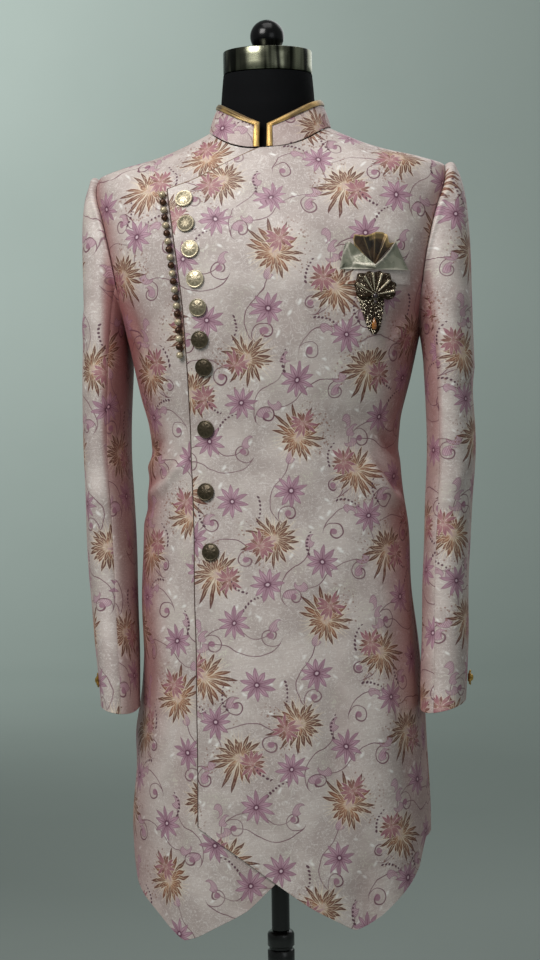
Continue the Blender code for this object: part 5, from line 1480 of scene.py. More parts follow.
def jersey():
    mat, net, shader = new_material("form_jersey", 0.90, 0.0, (9, 10, 12), Specular_IOR_Level=0.12)
    P = net.place()
    x, y, z = net.xyz(P)
    around = net.m("ARCTAN2", y, x)
    rib = net.m("SINE", net.m("MULTIPLY", around, 420.0))
    row = net.m("SINE", net.m("MULTIPLY", z, 2 * math.pi / 0.0011))
    knit = net.m("MULTIPLY", rib, row)
    cloud = net.noise(P, 30.0, 2.0)
    net.put(shader.inputs["Base Color"], net.mix(cloud, srgb(7, 8, 10), srgb(13, 14, 17)))
    net.put(shader.inputs["Roughness"], net.m("MULTIPLY_ADD", knit, 0.05, 0.82))
    net.put(shader.inputs["Normal"], net.bump(knit, 0.35, 0.0003))
    return mat


def polished(name, light, dark, rough, metal, **fixed):
    """Hard polished surface with faint lengthways brushing, a few scuffs and painted reflection bands round it."""
    mat, net, shader = new_material(name, rough, metal, light, **fixed)
    P = net.place()
    x, y, z = net.xyz(P)
    around = net.m("ARCTAN2", y, x)
    brush = net.noise(net.join(net.m("MULTIPLY", around, 1.2), 0.0, net.m("MULTIPLY", z, 320.0)), 3.0, 2.0)
    painted_reflection_bands = net.noise(net.join(net.m("SINE", around), net.m("COSINE", around), net.m("MULTIPLY", z, 2.0)), 3.4, 2.0)
    scuff = net.fit(net.noise(P, 90.0, 4.0, 0.65), 0.60, 0.74)
    # painted reflection: light and dark bands round the piece
    color = net.mix(net.fit(painted_reflection_bands, 0.40, 0.60), srgb(*dark), srgb(*light))
    net.put(shader.inputs["Base Color"], color)
    rough_map = net.m("MULTIPLY_ADD", brush, 0.10, rough - 0.04)
    net.put(shader.inputs["Roughness"], net.m("MULTIPLY_ADD", scuff, 0.15, rough_map))
    net.put(shader.inputs["Normal"], net.bump(brush, 0.05, 0.0001))
    return mat


GOLD_SATIN, PIPING = satin_gold(), piping_cloth()
BRASS = worn_metal("antique_brass", (226, 216, 186), (122, 104, 72), 0.36, 0.62, 1100.0, relief=True, painted_dark_reflection=True)
BEAD_PALE = worn_metal("bead_pale", (214, 204, 178), (160, 140, 106), 0.30, 0.35, 700.0)
BEAD_DARK = worn_metal("bead_dark", (92, 60, 38), (38, 22, 14), 0.30, 0.45, 700.0)
CUFF_GOLD = worn_metal("cuff_gold", (226, 182, 96), (120, 78, 30), 0.28, 0.95, 900.0, relief=True)
RAY_GOLD = worn_metal("ray_gold", (240, 230, 208), (150, 134, 104), 0.20, 0.80, 1400.0)
OXIDE = worn_metal("brooch_oxide", (84, 64, 46), (34, 26, 22), 0.38, 0.80, 1300.0)
CHAIN = worn_metal("brooch_chain", (74, 58, 44), (30, 24, 20), 0.22, 0.75, 1500.0, tone=True)
SILK_PALE = silk("silk_pale", (168, 166, 148), (122, 124, 106), (250, 242, 224))
SILK_BRONZE = silk("silk_bronze", (88, 64, 36), (34, 25, 15), (196, 168, 112))
GEM, AMBER = stone_glass("gem_dark", (44, 24, 30)), stone_glass("amber", (196, 122, 34), 0.08, 0.25)
JERSEY = jersey()
# painted reflection: dim olive colours stand in for the dark room the cap reflects
CHROME = polished("cap_chrome", (164, 166, 142), (40, 41, 35), 0.27, 1.0)
GLOSS = polished("knob_gloss", (9, 9, 10), (5, 5, 6), 0.20, 0.0, Specular_IOR_Level=0.34)
POLE_BLACK = polished("pole_black", (16, 16, 17), (9, 9, 10), 0.30, 0.0, Coat_Weight=0.2, Coat_Roughness=0.2)
BASE_BLACK = polished("base_black", (18, 18, 19), (12, 12, 13), 0.36, 0.0, Coat_Weight=0.15, Coat_Roughness=0.25)


# =====================================================================
# Shape helpers for the trims
# =====================================================================
def mesh_piece(name, verts, faces, mat, attrs=None, sharp=40):
    mesh = bpy.data.meshes.new(name)
    mesh.from_pydata([tuple(map(float, v)) for v in verts], [], [tuple(map(int, f)) for f in faces])
    bm = bmesh.new()
    bm.from_mesh(mesh)
    bmesh.ops.recalc_face_normals(bm, faces=bm.faces)
    bm.to_mesh(mesh)
    bm.free()
    for key, values in (attrs or {}).items():
        mesh.attributes.new(key, "FLOAT", "POINT").data.foreach_set("value", np.asarray(values, np.float32))
    mesh.materials.append(mat)
    mesh.shade_smooth()
    mesh.set_sharp_from_angle(angle=math.radians(sharp))
    obj = bpy.data.objects.new(name, mesh)
    bpy.context.scene.collection.objects.link(obj)
    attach(obj, "root")
    return obj


def turned_part(profile, segs, matrix=None, shape=None):
    """Points and faces of a turned piece; shape(r, h, t) may push points.
    Returns points, faces and the relief it gave."""
    verts, relief, rings, faces = [], [], [], []
    for rad, h in profile:
        count = 1 if rad < 1e-9 else segs
        rings.append(list(range(len(verts), len(verts) + count)))
        for i in range(count):
            t = 2 * math.pi * i / segs
            rr, hh, rel = shape(rad, h, t) if shape else (rad, h, 1.0)
            p = Vector((rr * math.cos(t), rr * math.sin(t), hh))
            verts.append(matrix @ p if matrix is not None else p)
            relief.append(rel)
    for lo, hi in zip(rings, rings[1:]):
        for i in range(segs):
            j = (i + 1) % segs
            if len(lo) == 1 and len(hi) == 1:
                continue
            if len(lo) == 1:
                faces.append((lo[0], hi[i], hi[j]))
            elif len(hi) == 1:
                faces.append((lo[i], lo[j], hi[0]))
            else:
                faces.append((lo[i], lo[j], hi[j], hi[i]))
    return verts, faces, relief


def stand_on(point, normal, spin=0.0):
    turn = Vector((0, 0, 1)).rotation_difference(Vector(normal)).to_matrix().to_4x4()
    return Matrix.Translation(Vector(point)) @ turn @ Matrix.Rotation(spin, 4, "Z")


def soft_profile(rows, count):
    """A profile table read as a smooth line."""
    p = np.array(rows, float)
    s = np.concatenate(([0], np.cumsum(np.linalg.norm(np.diff(p, axis=0), axis=1))))
    t = np.linspace(0, s[-1], count)
    out = np.stack([smooth_read(s, p[:, k], t) for k in (0, 1)], 1)
    out[0], out[-1] = p[0], p[-1]
    return [tuple(r) for r in out]


def rope(path, radius, sides):
    """Round tube along points, with closed ends."""
    pts = np.array(path, float)
    along = unit(np.gradient(pts, axis=0))
    side = unit(np.cross(along, np.array((0.0, 1.0, 0.001))))
    up = np.cross(along, side)
    t = 2 * math.pi * np.arange(sides) / sides
    ring = pts[:, None] + np.asarray(radius).reshape(-1, 1, 1) * (np.cos(t)[None, :, None] * side[:, None]
                                                                 + np.sin(t)[None, :, None] * up[:, None])
    n = len(pts)
    faces = [(i * sides + k, i * sides + (k + 1) % sides, (i + 1) * sides + (k + 1) % sides, (i + 1) * sides + k)
             for i in range(n - 1) for k in range(sides)]
    faces += [tuple(range(sides)), tuple((n - 1) * sides + k for k in range(sides))]
    return ring.reshape(-1, 3), faces


def balls(name, centres, radii, mat, tones=None, level=1, stretch=None):
    """Many small balls as one joined mesh."""
    bm = bmesh.new()
    bmesh.ops.create_icosphere(bm, subdivisions=level, radius=1.0)
    base = np.array([v.co for v in bm.verts])
    tri = np.array([[v.index for v in f.verts] for f in bm.faces])
    bm.free()
    n = len(base)
    verts = (np.asarray(centres)[:, None] + np.asarray(radii)[:, None, None] * base[None]).reshape(-1, 3)
    faces = (tri[None] + n * np.arange(len(centres))[:, None, None]).reshape(-1, 3)
    attrs = None if tones is None else {"Tone": np.repeat(np.asarray(tones, float), n)}
    return mesh_piece(name, verts, faces, mat, attrs, sharp=40 if level > 1 else 25)


def on_cloth(x, z, out, over=True):
    """A point standing out from the coat's front, and the normal there."""
    angle = front_angle(x, z)
    p, n = body_point(angle, z), body_normal(angle, z)
    h = body_relief(angle, z) + CLOTH + out
    if over:
        h = h + lap_lift(p)
    return p + n * np.asarray(h)[..., None], n


def join_parts(name, parts, mat, keys=("Relief",), sharp=40, extra=None):
    verts, faces, attrs = [], [], {k: [] for k in keys}
    for i, (v, f, rel) in enumerate(parts):
        base = len(verts)
        verts += list(v)
        faces += [tuple(base + q for q in face) for face in f]
        attrs["Relief"] += list(rel)
        if extra is not None:
            attrs[keys[1]] += [extra[i]] * len(v)
    return mesh_piece(name, verts, faces, mat, attrs, sharp)


# =====================================================================
# Binding, piping, beads and buttons
# =====================================================================
def binding():
    """Folded satin strip round the collar's top edge and both front edges."""
    w, edge_out, n0, n1 = BINDING_W, TRIM_GAP + BINDING_T, COLLAR_WALL + 0.0005, COLLAR_WALL + TRIM_GAP + BINDING_T
    # section: in from the edge (m) and out from the band's inner face (n)
    sec = [(w, n0), (w + 0.0002, 0.5 * (n0 + n1) + 0.0001), (w - 0.0004, n1 - 0.0001), (w * 0.66, n1 + 0.0003),
           (w * 0.33, n1 + 0.0003), (0.0, n1), (-edge_out * 0.75, n1 - 0.0007), (-edge_out, n1 - 0.0018),
           (-edge_out * 0.98, 0.0006), (-edge_out * 0.6, -0.0002), (0.0004, -0.0005), (w * 0.5, -0.0005),
           (w * 0.55, -0.0002), (0.0006, -0.0001), (-0.0004, 0.0006), (-0.0004, n0 - 0.0006), (0.0006, n0)]
    m, n = np.array(sec).T
    v_stop, u_stop = 1 - (w + 0.0012) / COLLAR_TALL, (w + 0.0012) / COLLAR_LEN
    rows = []
    for v in np.linspace(0, v_stop, 14):
        rows.append((m / COLLAR_LEN, np.full(m.shape, v)))
    rows.append((m / COLLAR_LEN, 1 - m / COLLAR_TALL))
    for u in np.linspace(u_stop, 1 - u_stop, 190):
        rows.append((np.full(m.shape, u), 1 - m / COLLAR_TALL))
    rows.append((1 - m / COLLAR_LEN, 1 - m / COLLAR_TALL))
    for v in np.linspace(v_stop, 0, 14):
        rows.append((1 - m / COLLAR_LEN, np.full(m.shape, v)))
    ring = np.array([collar_point(u, v, n) for u, v in rows])
    count, k = ring.shape[:2]
    verts = ring.reshape(-1, 3)
    faces = [(i * k + a, i * k + (a + 1) % k, (i + 1) * k + (a + 1) % k, (i + 1) * k + a)
             for i in range(count - 1) for a in range(k)]
    faces += [tuple(range(k)), tuple((count - 1) * k + a for a in range(k))]
    obj = mesh_piece("collar_binding_satin", verts, faces, GOLD_SATIN, sharp=70)
    along = np.concatenate(([0], np.cumsum(np.linalg.norm(np.diff(ring[:, 4], axis=0), axis=1))))
    across = np.concatenate(([0], np.cumsum(np.hypot(np.diff(m), np.diff(n)))))
    uv = np.stack(np.meshgrid(across, along), -1)[..., ::-1].reshape(-1, 2)
    layer = obj.data.uv_layers.new(name="Cloth")
    index = np.empty(len(obj.data.loops), np.int32)
    obj.data.loops.foreach_get("vertex_index", index)
    layer.data.foreach_set("uv", uv[index].astype(np.float32).ravel())
    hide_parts("collar_binding")
    return obj, along[-1], 0.5 * (across[-1] + 0.001)


binding_obj, binding_long, binding_wide = binding()
CUTS["collar_binding"] = (float(binding_long), float(binding_wide), float(binding_long * binding_wide))

# piping along the over front's edge and its slanting top; the top run is painted lighter where the light falls on it
mid = (over_in + over_out) / 2
step_out = PIPING_R + 0.0003
edge_line = mid[:, -1] + step_out * unit(mid[:, -1] - mid[:, -2])
neck_col = int(round(NECK_SPLIT * (mid.shape[1] - 1)))
top_line = mid[-1] + step_out * 0.9 * unit(mid[-1] - mid[-2])
corner = mid[-1, -1] + step_out * 1.2 * unit(unit(mid[-1, -1] - mid[-1, -2]) + unit(mid[-1, -1] - mid[-2, -1]))
path = np.vstack((edge_line[:-2:2], corner[None], top_line[-3:neck_col + 1:-2]))
n_edge = len(edge_line[:-2:2]) + 1
radius = np.where(np.arange(len(path)) < n_edge, PIPING_R, PIPING_R * 0.8)
verts, faces = rope(path, radius, 10)
piping = mesh_piece("flap_piping_cord", verts, faces, PIPING,
                    {"PaintedLight": np.repeat((np.arange(len(path)) >= n_edge).astype(float), 10)}, sharp=80)
s = np.concatenate(([0], np.cumsum(np.linalg.norm(np.diff(path, axis=0), axis=1))))
uv = np.stack((np.repeat(s, 10), np.tile(np.arange(10) / 10.0, len(path))), 1)
layer = piping.data.uv_layers.new(name="Cloth")
index = np.empty(len(piping.data.loops), np.int32)
piping.data.loops.foreach_get("vertex_index", index)
layer.data.foreach_set("uv", uv[index].astype(np.float32).ravel())
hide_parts("flap_piping")

# beads: small turned balls with a hole, pale and dark in turn
edge_pts = mid[:, -1]
order = np.argsort(edge_pts[:, 2])


def edge_x(z):
    return float(np.interp(z, edge_pts[order, 2], edge_pts[order, 0]))


z = BEAD_TOP_Z
bead_parts = {0: [], 1: []}
for i in range(BEAD_COUNT):
    away = 2 * PIPING_R + 0.0008 + BEAD_R
    x = edge_x(z) - away / 0.94
    centre, n = on_cloth(x, z, 0.0004 + BEAD_R, over=False)
    slope = (edge_x(z - 0.01) - edge_x(z)) / 0.01
    lean = unit(np.array((slope, 0.0, -1.0)))
    profile, size = [], 1.08 * BEAD_R
    for j in range(19):
        a = -math.pi / 2 + math.pi * j / 18
        r = size * math.cos(a)
        h = size * math.sin(a)
        if j in (0, 18):
            r, h = 0.0, h * 0.86
        elif j in (1, 17):
            r, h = 0.0008, h * 0.90
        elif j in (2, 16):
            r, h = 0.0013, h * 1.0
        profile.append((r, h))
    bead_parts[i % 2].append(turned_part(profile, 28, stand_on(centre, lean)))
    z -= BEAD_PITCH / math.sqrt(1 + slope * slope)
for k, name, mat in ((0, "beads_pale", BEAD_PALE), (1, "beads_dark", BEAD_DARK)):
    obj = join_parts(name, bead_parts[k], mat, sharp=60)
    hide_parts(*["bead_%02d" % (i + 1) for i in range(BEAD_COUNT) if i % 2 == k])

# front buttons: a raised rim, then a dome with an engraved rosette
BUTTON_PROFILE = [(0.0, 0.0), (0.84, 0.0), (0.96, 0.10), (1.0, 0.26), (1.0, 0.44), (0.975, 0.58), (0.93, 0.66),
                  (0.885, 0.64), (0.855, 0.58), (0.82, 0.59), (0.72, 0.70), (0.58, 0.81), (0.42, 0.90), (0.24, 0.965),
                  (0.10, 0.99), (0.0, 1.0)]


def rosette(petals, spin):
    def shape(r, h, t):
        q = r / BUTTON_R
        rel = 1.0
        if h > BUTTON_H * 0.5 and q < 0.84:
            wave = 0.5 + 0.5 * math.cos(petals * t + spin)
            ring = max(0.0, 1 - abs(q - 0.56) / 0.26)
            inner = max(0.0, 1 - abs(q - 0.24) / 0.12)
            inner_wave = 0.5 + 0.5 * math.cos(petals * t + spin + math.pi)
            lift = 0.00016 * ring * (wave - 0.55) * 2 + 0.00012 * inner * (inner_wave - 0.5) * 2
            dots = max(0.0, 1 - abs(q - 0.76) / 0.06) * (0.5 + 0.5 * math.cos(3 * petals * t))
            lift += 0.00013 * dots
            h = h + lift
            rel = 0.70 + 1700 * lift
        elif 0.80 < q < 0.90 and h > BUTTON_H * 0.4:
            rel = 0.25
        elif h > BUTTON_H * 0.5:
            rel = 1.2
        elif h < BUTTON_H * 0.5:
            rel = 0.7
        return r, h, min(max(rel, 0.0), 1.25)
    return shape


# painted reflection: how dark each button is painted, from the top one down, where it tilts to reflect the dim room
PAINTED_DARK_REFLECTION = (0.08, 0.62, 0.06, 0.06, 0.48, 0.90, 0.95, 0.92, 0.96, 0.94)
profile = [(r * BUTTON_R, h * BUTTON_H) for r, h in soft_profile(BUTTON_PROFILE, 46)]
for i, (x, z) in enumerate(BUTTONS):
    seat, n = on_cloth(x, z, 0.0005)
    part = turned_part(profile, 72, stand_on(seat, n, 0.37 * i), rosette(8, 0.9 * i))
    shank = turned_part([(0.0, -0.0012), (0.0030, -0.0012), (0.0030, 0.0002), (0.0, 0.0002)], 16, stand_on(seat, n))
    obj = join_parts("button_%02d_engraved" % (i + 1), [part, shank], BRASS, ("Relief", "PaintedDarkReflection"), 50,
                     [PAINTED_DARK_REFLECTION[i], PAINTED_DARK_REFLECTION[i]])
    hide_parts("button_%02d" % (i + 1))

# cuff buttons: a gold flower with a ball in the middle
CUFF_PROFILE = [(0.0, 0.0), (0.52, 0.0), (0.58, 0.0010), (0.78, 0.0012), (1.0, 0.0019), (1.03, 0.0026), (0.96, 0.0033),
                (0.80, 0.0037), (0.62, 0.0036), (0.50, 0.0040), (0.42, 0.0054), (0.26, 0.0066), (0.0, 0.0070)]


def flower(r, h, t):
    q = r / CUFF_BUTTON_R
    wave = 0.5 + 0.5 * math.cos(6 * t)
    out = max(0.0, (q - 0.5) / 0.5)
    return r * (1 - 0.16 * out * (1 - wave)), h + 0.0007 * out * wave * (h > 0.0015), 0.4 + 0.8 * wave if q > 0.45 else 1.1


for side, word in ((+1, "left"), (-1, "right")):
    s_at = 1 + (SLEEVE_TOP_Z - CUFF_BUTTON_Z) / (SLEEVE_TOP_Z - CUFF_Z)
    p, n = sleeve_point(0.0, s_at, side), sleeve_normal(0.0, s_at, side)
    n = unit(n * np.array((1, 1, 0.2)))
    h = float(sleeve_relief(np.array(0.0), np.array(s_at), side, p))
    part = turned_part([(r * CUFF_BUTTON_R, hh * CUFF_BUTTON_R) for r, hh in soft_profile(
        [(a, b / CUFF_BUTTON_R) for a, b in CUFF_PROFILE], 34)], 60, stand_on(p + n * (h + SLEEVE_WALL + 0.0008), n),
        lambda r, hh, t: flower(r, hh, t))
    obj = join_parts("cuff_button_%s_flower" % word, [part], CUFF_GOLD, sharp=50)
    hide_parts("cuff_button_%s" % word)


# =====================================================================
# Breast pocket, pocket square and brooch
# =====================================================================
def chest_shell(name, x, z, near, far, mats, edge_light=None, uv=None, round_rim=0.0003):
    """Shell on the chest over a grid of (x, z); near and far may be grids."""
    inner, _ = on_cloth(x, z, near + 0 * x)
    outer, _ = on_cloth(x, z, far + 0 * x)
    if uv is None:
        uv, area, size = cloth_place((inner + outer) / 2, 2, 2, (0.0, 0.0))
    else:
        _, area, size = cloth_place((inner + outer) / 2, 2, 2, (0.0, 0.0))
    obj = grid_mesh(name, outer, inner, uv, edge_light, mats, round_rim)
    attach(obj, "root")
    CUTS[name] = (float(size[0]), float(size[1]), area)
    return obj


from mathutils.kdtree import KDTree
tree = KDTree(over_out.shape[0] * over_out.shape[1])
flat_out, flat_uv = over_out.reshape(-1, 3), over_uv.reshape(-1, 2)
for i, p in enumerate(flat_out):
    tree.insert(Vector(p), i)
tree.balance()


def print_at(points):
    """Cloth places on the over front below given points, so that the print matches."""
    out = np.zeros(points.shape[:-1] + (2,))
    for index in np.ndindex(points.shape[:-1]):
        found = tree.find_n(Vector(points[index]), 4)
        w = np.array([1 / (f[2] + 1e-5) ** 2 for f in found])
        out[index] = (w[:, None] * flat_uv[[f[1] for f in found]]).sum(0) / w.sum()
    return out


gx, gz = np.meshgrid(np.linspace(WELT_X0, WELT_X1, 44), np.linspace(WELT_Z - WELT_DROP, WELT_Z, 12))
below, below_n = on_cloth(gx, gz, 0.0 * gx)
# painted rose sheen and shade on its side, as on the cloth below
welt = chest_shell("pocket_welt_cloth", gx, gz, 0.0005, 0.0016, [BROCADE, WRONG], side_painted_sheen(below_n), print_at(below))
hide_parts("pocket_welt")

# where the square's folds meet, and how far its pieces lie from the welt's place
SQ_X, SQ_Z, SQ_MOVE = 0.1350, 1.3104, -0.0038
# the fan's outer edge.  columns: angle (deg), reach
FAN_EDGE = [
    (49.0, 0.0375), (54.5, 0.0335), (59.0, 0.0330), (68.0, 0.0400), (73.0, 0.0412), (85.0, 0.0398), (98.0, 0.0370),
    (105.0, 0.0366), (113.0, 0.0400), (120.5, 0.0432), (127.0, 0.0392), (133.0, 0.0320),
]
ga, gr = np.meshgrid(np.linspace(133.0, 49.0, 120), np.linspace(0.04, 1.0, 36))
reach = np.interp(ga, column(FAN_EDGE, 0), column(FAN_EDGE, 1)) * gr
x = SQ_X + reach * np.cos(np.radians(ga))
z = SQ_Z + reach * np.sin(np.radians(ga))
turns = (ga - 49.0) / 84.0 * 4.0
saw = turns - np.floor(turns)
pleat = np.where(saw < 0.86, saw / 0.86, (1 - saw) / 0.14)
height = 0.0016 + 0.0036 * pleat * ease(gr / 0.5) + 0.0010 * ease((gr - 0.86) / 0.14)
# painted highlights along the rim, on each pleat crest, on the outer band of the right half and along the left end
light = 0.95 * ease((gr - 0.945) / 0.04) + 0.40 * np.exp(-((saw - 0.84) / 0.04) ** 2) * ease(gr / 0.4)
light = light + 0.34 * ease((gr - 0.80) / 0.04) * (ga < 98) + 0.8 * ease((ga - 129.5) / 2.0)
fan = chest_shell("pocket_square_fan", x, z, height, height + 0.0008, [SILK_BRONZE], np.clip(light, 0, 1))
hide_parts("pocket_square")

# left wing, crumpled.  columns: x, height of its upper edge
WING_LEFT = [
    (0.0990, 1.3090), (0.1012, 1.3180), (0.1034, 1.3290), (0.1060, 1.3372), (0.1110, 1.3392), (0.1150, 1.3360),
    (0.1223, 1.3290), (0.1395, 1.3116),
]
gu, gv = np.meshgrid(np.linspace(0, 1, 64), np.linspace(0, 1, 40))
x = WING_LEFT[0][0] + (WING_LEFT[-1][0] - WING_LEFT[0][0]) * gu ** 0.92
top = np.interp(x, column(WING_LEFT, 0), column(WING_LEFT, 1))
x = x + SQ_MOVE
z = 1.3076 + (top - 1.3076) * gv
rng = np.random.RandomState(5)
crumple, glint = 0.0, 0.0
for _ in range(9):
    # a flat facet either side of each crease
    d = unit(rng.normal(size=2) * np.array((1.0, 0.7)))
    off = d[0] * (x - rng.uniform(0.099, 0.128)) + d[1] * (z - rng.uniform(1.310, 1.338))
    crumple = crumple + rng.uniform(0.4, 1.0) * np.sqrt(off ** 2 + 0.0007 ** 2)
    # painted glints along the crumple creases, stronger toward one side
    glint = glint + rng.uniform(0.2, 1.0) * np.exp(-(off / 0.0011) ** 2) * np.clip(0.5 + 260 * (x - 0.112) * d[1], 0, 1)
crumple = (crumple - crumple.min()) / (crumple.max() - crumple.min())
height = 0.0022 + 0.0062 * crumple * np.clip(gv * 4, 0.3, 1) + 0.0008 * gv
# painted highlights: the glints, the lower edge and the left end
light = np.clip(glint, 0, 1) * 0.95 + 0.9 * np.exp(-(gv / 0.05) ** 2) + 0.5 * ease((0.10 - gu) / 0.08)
left = chest_shell("pocket_square_left", x, z, height, height + 0.0007, [SILK_PALE], np.clip(light, 0, 1))
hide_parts("pocket_square")

# right wing: a smooth triangle with a rolled fold, painted bright as a highlight
WING_RIGHT = [(0.1388, 1.3116), (0.1480, 1.3196), (0.1560, 1.3290), (0.1634, 1.3408), (0.1700, 1.3240), (0.1770, 1.3078)]
gu, gv = np.meshgrid(np.linspace(0, 1, 60), np.linspace(0, 1, 34))
x = WING_RIGHT[0][0] + (WING_RIGHT[-1][0] - WING_RIGHT[0][0]) * gu
top = np.interp(x, column(WING_RIGHT, 0), column(WING_RIGHT, 1))
z = 1.3070 + (top - 1.3070) * gv
x = x + SQ_MOVE
fold = np.exp(-((1 - gv) * (top - 1.3070) / 0.0030) ** 2) * (x < 0.1606)
height = 0.0042 + 0.0030 * fold + 0.0008 * np.sin(gu * 5.0 + 0.6) * gv
# painted highlights on the rolled fold and along the lower edge
light = 1.0 * fold ** 0.7 + 0.8 * np.exp(-(gv / 0.05) ** 2)
right = chest_shell("pocket_square_right", x, z, height, height + 0.0008, [SILK_PALE], np.clip(light, 0, 1))
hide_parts("pocket_square")

# the brooch is a stiff piece of jewellery in a plane of its own
# it hangs a little toward the front and above the middle of its two pieces
HUB_X, HUB_Z = BROOCH_X - 0.0040, BROOCH_Z + 0.0022
hub, bn = on_cloth(HUB_X, HUB_Z, 0.0062)
hub, bn = hub.reshape(3), bn.reshape(3)
bz = unit(np.array((0, 0, 1.0)) - bn[2] * bn)
bx = np.cross(bz, bn)


def B(a, b, c):
    a, b, c = np.broadcast_arrays(np.asarray(a, float), np.asarray(b, float), np.asarray(c, float))
    return hub + a[..., None] * bx + b[..., None] * bz + c[..., None] * bn


# angle, length of the rays
RAYS = [(10, 0.0255), (44, 0.0252), (73, 0.0272), (99, 0.0272), (124, 0.0272), (152, 0.0286)]
# dark plate behind them.  columns: angle, reach
PLATE = [(-20, 0.0190), (-12, 0.0250), (0, 0.0268), (12, 0.0280), (22, 0.0305), (35, 0.0280), (51, 0.0308), (66, 0.0292),
         (82, 0.0272), (98, 0.0272), (115, 0.0290), (133, 0.0325), (146, 0.0300), (160, 0.0270), (176, 0.0236),
         (196, 0.0200)]
ga, gr = np.meshgrid(np.radians(np.linspace(196, -20, 110)), np.linspace(0.08, 1, 16))
reach = (np.interp(np.degrees(ga), column(PLATE, 0), column(PLATE, 1))
         * (1 + 0.030 * np.cos(np.degrees(ga) * math.pi / 13))) * gr
lift = -0.0010 + 0.0012 * (1 - gr ** 2)
top = B(reach * np.cos(ga), reach * np.sin(ga), lift)
plate = grid_mesh("brooch_plate", top, top - 0.0010 * bn, np.stack((reach * np.cos(ga), reach * np.sin(ga)), -1), None,
                  [OXIDE], 0.0003)
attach(plate, "root")
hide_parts("brooch_fan")

parts = []
for deg, length in RAYS:
    a = math.radians(deg)
    t = np.linspace(0, 1, 54)
    r = 0.0052 + (length - 0.0052) * t
    wide = (0.0006 + 0.0011 * t) * (1 + 0.16 * np.cos(2 * math.pi * t * 9)) * np.sqrt(np.clip(1 - ((t - 0.93) / 0.07) ** 2 * (t > 0.93), 0.02, 1))
    line = B(r * math.cos(a), r * math.sin(a), 0.0016 + 0.0012 * t)
    v, f = rope(line, wide, 12)
    parts.append((list(v), f, [1.0] * len(v)))
    # a thin claw along each side
    for off in (-0.0017, 0.0017):
        side = B(r * math.cos(a) - off * t * math.sin(a), r * math.sin(a) + off * t * math.cos(a), 0.0008)
        v, f = rope(side, 0.00028 + 0 * t, 6)
        parts.append((list(v), f, [1.0] * len(v)))
rays = join_parts("brooch_rays", parts, RAY_GOLD, sharp=70)
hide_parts("brooch_fan")

rng = np.random.RandomState(8)
centres, radii, tones = [], [], []
gaps = [(-16, 10)] + [(RAYS[i][0], RAYS[i + 1][0]) for i in range(5)] + [(152, 192)]
for lo, hi in gaps:
    for r in np.arange(0.0090, 0.0318, 0.0021):
        room = math.radians(hi - lo) * r - 0.0030
        count = int(room / 0.0019)
        for j in range(count):
            a = math.radians(lo + (hi - lo) * (j + 1) / (count + 1))
            limit = float(np.interp(math.degrees(a), column(PLATE, 0), column(PLATE, 1)))
            if r < limit - 0.0006:
                centres.append(B(r * math.cos(a), r * math.sin(a), 0.0002))
                radii.append(0.00085 * rng.uniform(0.8, 1.15))
                # painted glints: about one stone in eight is made pale
                tones.append(1.0 if rng.uniform() < 0.13 else 0.25 * rng.uniform())
stones = balls("brooch_stones", centres, radii, CHAIN, tones, 1)
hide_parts("brooch_fan")

centres, radii, tones = [], [], []
for i in range(13):
    a = 2 * math.pi * i / 13
    centres.append(B(0.0042 * math.cos(a), -0.0016 + 0.0042 * math.sin(a), 0.0020))
    radii.append(0.00085)
    tones.append(0.75 if i % 2 else 0.2)
for i in range(9):
    a = 2 * math.pi * i / 9
    centres.append(B(0.0004 + 0.0030 * math.cos(a), -0.0088 + 0.0030 * math.sin(a), 0.0016))
    radii.append(0.00070)
    tones.append(0.6 if i % 2 else 0.1)
collet = balls("brooch_collet", centres, radii, CHAIN, tones, 2)
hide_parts("brooch_fan")
dome = soft_profile([(0.0, -0.0010), (0.96, -0.0010), (1.0, 0.0), (0.86, 0.0009), (0.5, 0.0017), (0.0, 0.0021)], 22)
gem_parts = []
for a, b, r in ((0.0, -0.0016, 0.0031), (0.0004, -0.0088, 0.0021)):
    prof = [(q * r, h * r / 0.0026) for q, h in dome]
    gem_parts.append(turned_part(prof, 32, stand_on(B(a, b, 0.0020).reshape(3), bn)))
gems = join_parts("brooch_gems", gem_parts, GEM, sharp=60)
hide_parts("brooch_fan")

# chain mesh: a thin dark web with rows of small links, narrowing to a point
MESH_TOP, MESH_LOW = HUB_Z + 0.0010, HUB_Z - 0.0470


def web_half(t):
    return np.interp(t, (0.0, 0.35, 0.65, 0.90, 1.0), (0.0168, 0.0136, 0.0104, 0.0066, 0.0022))


def web_mid(t):
    return HUB_X - 0.0030 + 0.0028 * t


